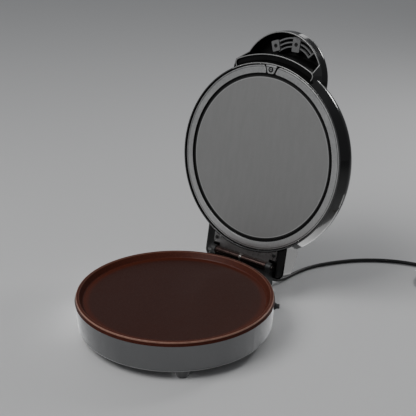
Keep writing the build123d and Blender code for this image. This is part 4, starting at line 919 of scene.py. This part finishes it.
class PIZZAMAKER_OT_screws(bpy.types.Operator):
    """Makes the screws that show, with a cross in each head"""

    bl_idname = "pizza_maker.screws"
    bl_label = "Screws"

    def execute(self, context):
        head = sizes().screw_head
        steel = bpy.data.materials["screw_steel"]
        dark = finish("screw_dark", grey(0.025), metallic=0.5, roughness=0.3, grain=(1800, 0.15),
                      marks=0.2)

        def spots_at(radius, angles, height):
            return [(radius * cos(radians(a)), radius * sin(radians(a)), height) for a in angles]

        pan = spots_at(0.085, (0, 90, 180, 270), 0.0149)
        feet = spots_at(0.147, (60, 120, 225, 315), 0.010)
        leaf = [(-0.064, 0.163, 0.002), (0.064, 0.163, 0.002)]
        handle = [(-0.024, -0.1955, 0.0463), (0.018, -0.2034, 0.0463)]
        for node, body, spots, shank, size, material in (
            ("clip_screw", "lid", [(0, -CLIP_RADIUS, 0.0054)], 0.0141, 1.0, steel),
            ("leaf_screws", "lid", leaf, 0.017, 1.0, dark),
            ("handle_screws", "lid", handle, 0.0117, 1.25, dark),
            ("pan_screws", "base", pan, 0.030, 1.0, steel),
            ("foot_screws", "base", feet, 0.0145, 1.0, steel),
        ):
            shapes = []
            for number, spot in enumerate(spots):
                points, faces = screw_shape(head * size, 0.002, shank)
                turn = 0.5 + 1.7 * number
                along, beside = (cos(turn), sin(turn), 0), (-sin(turn), cos(turn), 0)
                spun = points @ np.array([along, beside, (0, 0, 1)])
                shapes.append((spun * (1, -1, -1) + spot, faces))
            piece(node + "_cross", joined(shapes), body, material, [node])
        return {"FINISHED"}


class PIZZAMAKER_OT_hinge(bpy.types.Operator):
    """Finishes the hinge leaf with its barrel, and the pin"""

    bl_idname = "pizza_maker.hinge"
    bl_label = "Hinge"

    def execute(self, context):
        # The barrel's dark brown is a painted reflection of the red-brown pan on the hinge's steel
        barrel = (0.0079, (0.060, 0.040, 0.036, 1), (0.45, 0.42, 0.40, 1))
        leaf = finish("leaf_steel", tone(colour("steel"), 0.45), metallic=0.95, roughness=0.28,
                      variation=0.08, grain=(700, 0.05), marks=0.3, barrel=barrel,
                      streaks=((8, 200, 200), 0.08, tone(colour("steel"), 0.9)))
        dress(leaf, "hinge_leaf")
        pin = finish("pin_steel", (0.30, 0.27, 0.26, 1), metallic=1.0, roughness=0.22,
                     grain=(1800, 0.1), marks=0.2)
        dress(pin, "hinge_pin")
        return {"FINISHED"}


class PIZZAMAKER_OT_handle(bpy.types.Operator):
    """Finishes the ribbed insert under the handle"""

    bl_idname = "pizza_maker.handle"
    bl_label = "Handle"

    def execute(self, context):
        # The insert's grey, lighter than the black hollow, is partly its own and partly a painted
        # highlight on its ribs
        grip = finish("grey_plastic", colour("grip"), roughness=0.34, grain=(1500, 0.15), marks=0.3,
                      coat=0.2)
        dress(grip, "handle_insert")
        return {"FINISHED"}


class PIZZAMAKER_OT_stage(bpy.types.Operator):
    """Sets up the pale floor and the soft studio lights"""

    bl_idname = "pizza_maker.stage"
    bl_label = "Floor and lights"

    def execute(self, context):
        studio = context.scene.pizza_maker_studio
        floor = bpy.data.meshes.new("studio_floor")
        reach, corners = 14.0, ((-1, -1), (1, -1), (1, 1), (-1, 1))
        floor.from_pydata([(reach * x, reach * y, 0) for x, y in corners], [], [(0, 1, 2, 3)])
        pale = bpy.data.materials.new("pale_floor")
        pale.use_nodes = True
        shader = pale.node_tree.nodes["Principled BSDF"]
        shader.inputs["Base Color"].default_value = studio.floor
        shader.inputs["Roughness"].default_value = 0.6
        floor.materials.append(pale)
        ground = bpy.data.objects.new("studio_floor", floor)
        context.scene.collection.objects.link(ground)
        world = bpy.data.worlds.new("studio_world")
        world.use_nodes = True
        sky = world.node_tree.nodes["Background"]
        sky.inputs["Color"].default_value = (0.80, 0.82, 0.85, 1.0)
        sky.inputs["Strength"].default_value = studio.world
        context.scene.world = world
        # The strips only draw bright edges and patches on the pieces named here, and light nothing else
        lit = {}
        for name, pieces in (
            ("edge_lit", ("base_drum", "foot_front_left", "foot_front_right", "lid_shell", "drum_hem")),
            ("shell_lit", ("lid_shell",)),
        ):
            lit[name] = bpy.data.collections.new(name)
            for each in pieces:
                lit[name].objects.link(bpy.data.objects[each])
        middle, low = Vector((0.0, 0.0, 0.15)), Vector((0.0, 0.0, 0.02))
        narrow, side = radians(9), studio.side_power
        for name, spot, across, along, energy, target, spread, receivers in (
            ("key_light", (-0.6, -1.6, 2.4), 1.8, 1.4, studio.key_power * 1.08, middle, pi, None),
            ("back_light", (0.42, 1.60, 1.12), 0.45, 0.25, side * 0.4, middle, pi, None),
            ("tail_strip", (0.26, 0.30, 0.012), 0.40, 0.10, side * 0.012, None, pi, "shell_lit"),
            ("visor_strip", (-0.10, 1.45, 1.00), 0.90, 0.35, side * 0.10, low, pi, "shell_lit"),
            ("left_strip", (-1.4, -0.34, 0.07), 0.34, 0.08, side * 0.09, low, narrow, "edge_lit"),
            ("rear_strip", (0.62, 1.40, 0.07), 0.30, 0.08, side * 0.035, low, narrow, "edge_lit"),
        ):
            lamp = bpy.data.lights.new(name, "AREA")
            lamp.shape, lamp.size, lamp.size_y = "RECTANGLE", across, along
            lamp.energy, lamp.spread = energy, spread
            light = bpy.data.objects.new(name, lamp)
            context.scene.collection.objects.link(light)
            if target is None:
                # Lies on the floor behind the lid, faces up, and is turned to follow the tail's corner
                aim = Matrix.Rotation(radians(29), 4, "Z") @ Matrix.Rotation(pi, 4, "X")
            else:
                aim = (target - Vector(spot)).to_track_quat("-Z", "Y").to_matrix().to_4x4()
            aim.translation = spot
            light.matrix_world = aim
            light.visible_camera = False
            if receivers:
                light.light_linking.receiver_collection = lit[receivers]
        return {"FINISHED"}


STEPS = (
    PIZZAMAKER_OT_camera,
    PIZZAMAKER_OT_cord,
    PIZZAMAKER_OT_base,
    PIZZAMAKER_OT_lid,
    PIZZAMAKER_OT_lid_edges,
    PIZZAMAKER_OT_ring,
    PIZZAMAKER_OT_screws,
    PIZZAMAKER_OT_hinge,
    PIZZAMAKER_OT_handle,
    PIZZAMAKER_OT_stage,
)


class PIZZAMAKER_PT_panel(bpy.types.Panel):
    """Lists the steps and their settings"""

    bl_idname = "PIZZAMAKER_PT_panel"
    bl_label = "Pizza maker"
    bl_space_type = "VIEW_3D"
    bl_region_type = "UI"
    bl_category = "Pizza maker"

    def draw(self, context):
        for settings in SETTINGS:
            group = getattr(context.scene, settings)
            box = self.layout.box()
            for key in group.__annotations__:
                box.prop(group, key)
        for step in STEPS:
            self.layout.operator(step.bl_idname)


SETTINGS = {
    "pizza_maker_sizes": PizzaMakerSizes,
    "pizza_maker_colours": PizzaMakerColours,
    "pizza_maker_studio": PizzaMakerStudio,
}


def register():
    for kind in (*SETTINGS.values(), *STEPS, PIZZAMAKER_PT_panel):
        bpy.utils.register_class(kind)
    for key, kind in SETTINGS.items():
        setattr(bpy.types.Scene, key, bpy.props.PointerProperty(type=kind))


def unregister():
    for key in SETTINGS:
        delattr(bpy.types.Scene, key)
    for kind in reversed((*SETTINGS.values(), *STEPS, PIZZAMAKER_PT_panel)):
        bpy.utils.unregister_class(kind)


def main():
    register()
    make_groups()
    for step in STEPS:
        getattr(bpy.ops.pizza_maker, step.bl_idname.split(".")[1])()


if __name__ == "__main__":
    main()
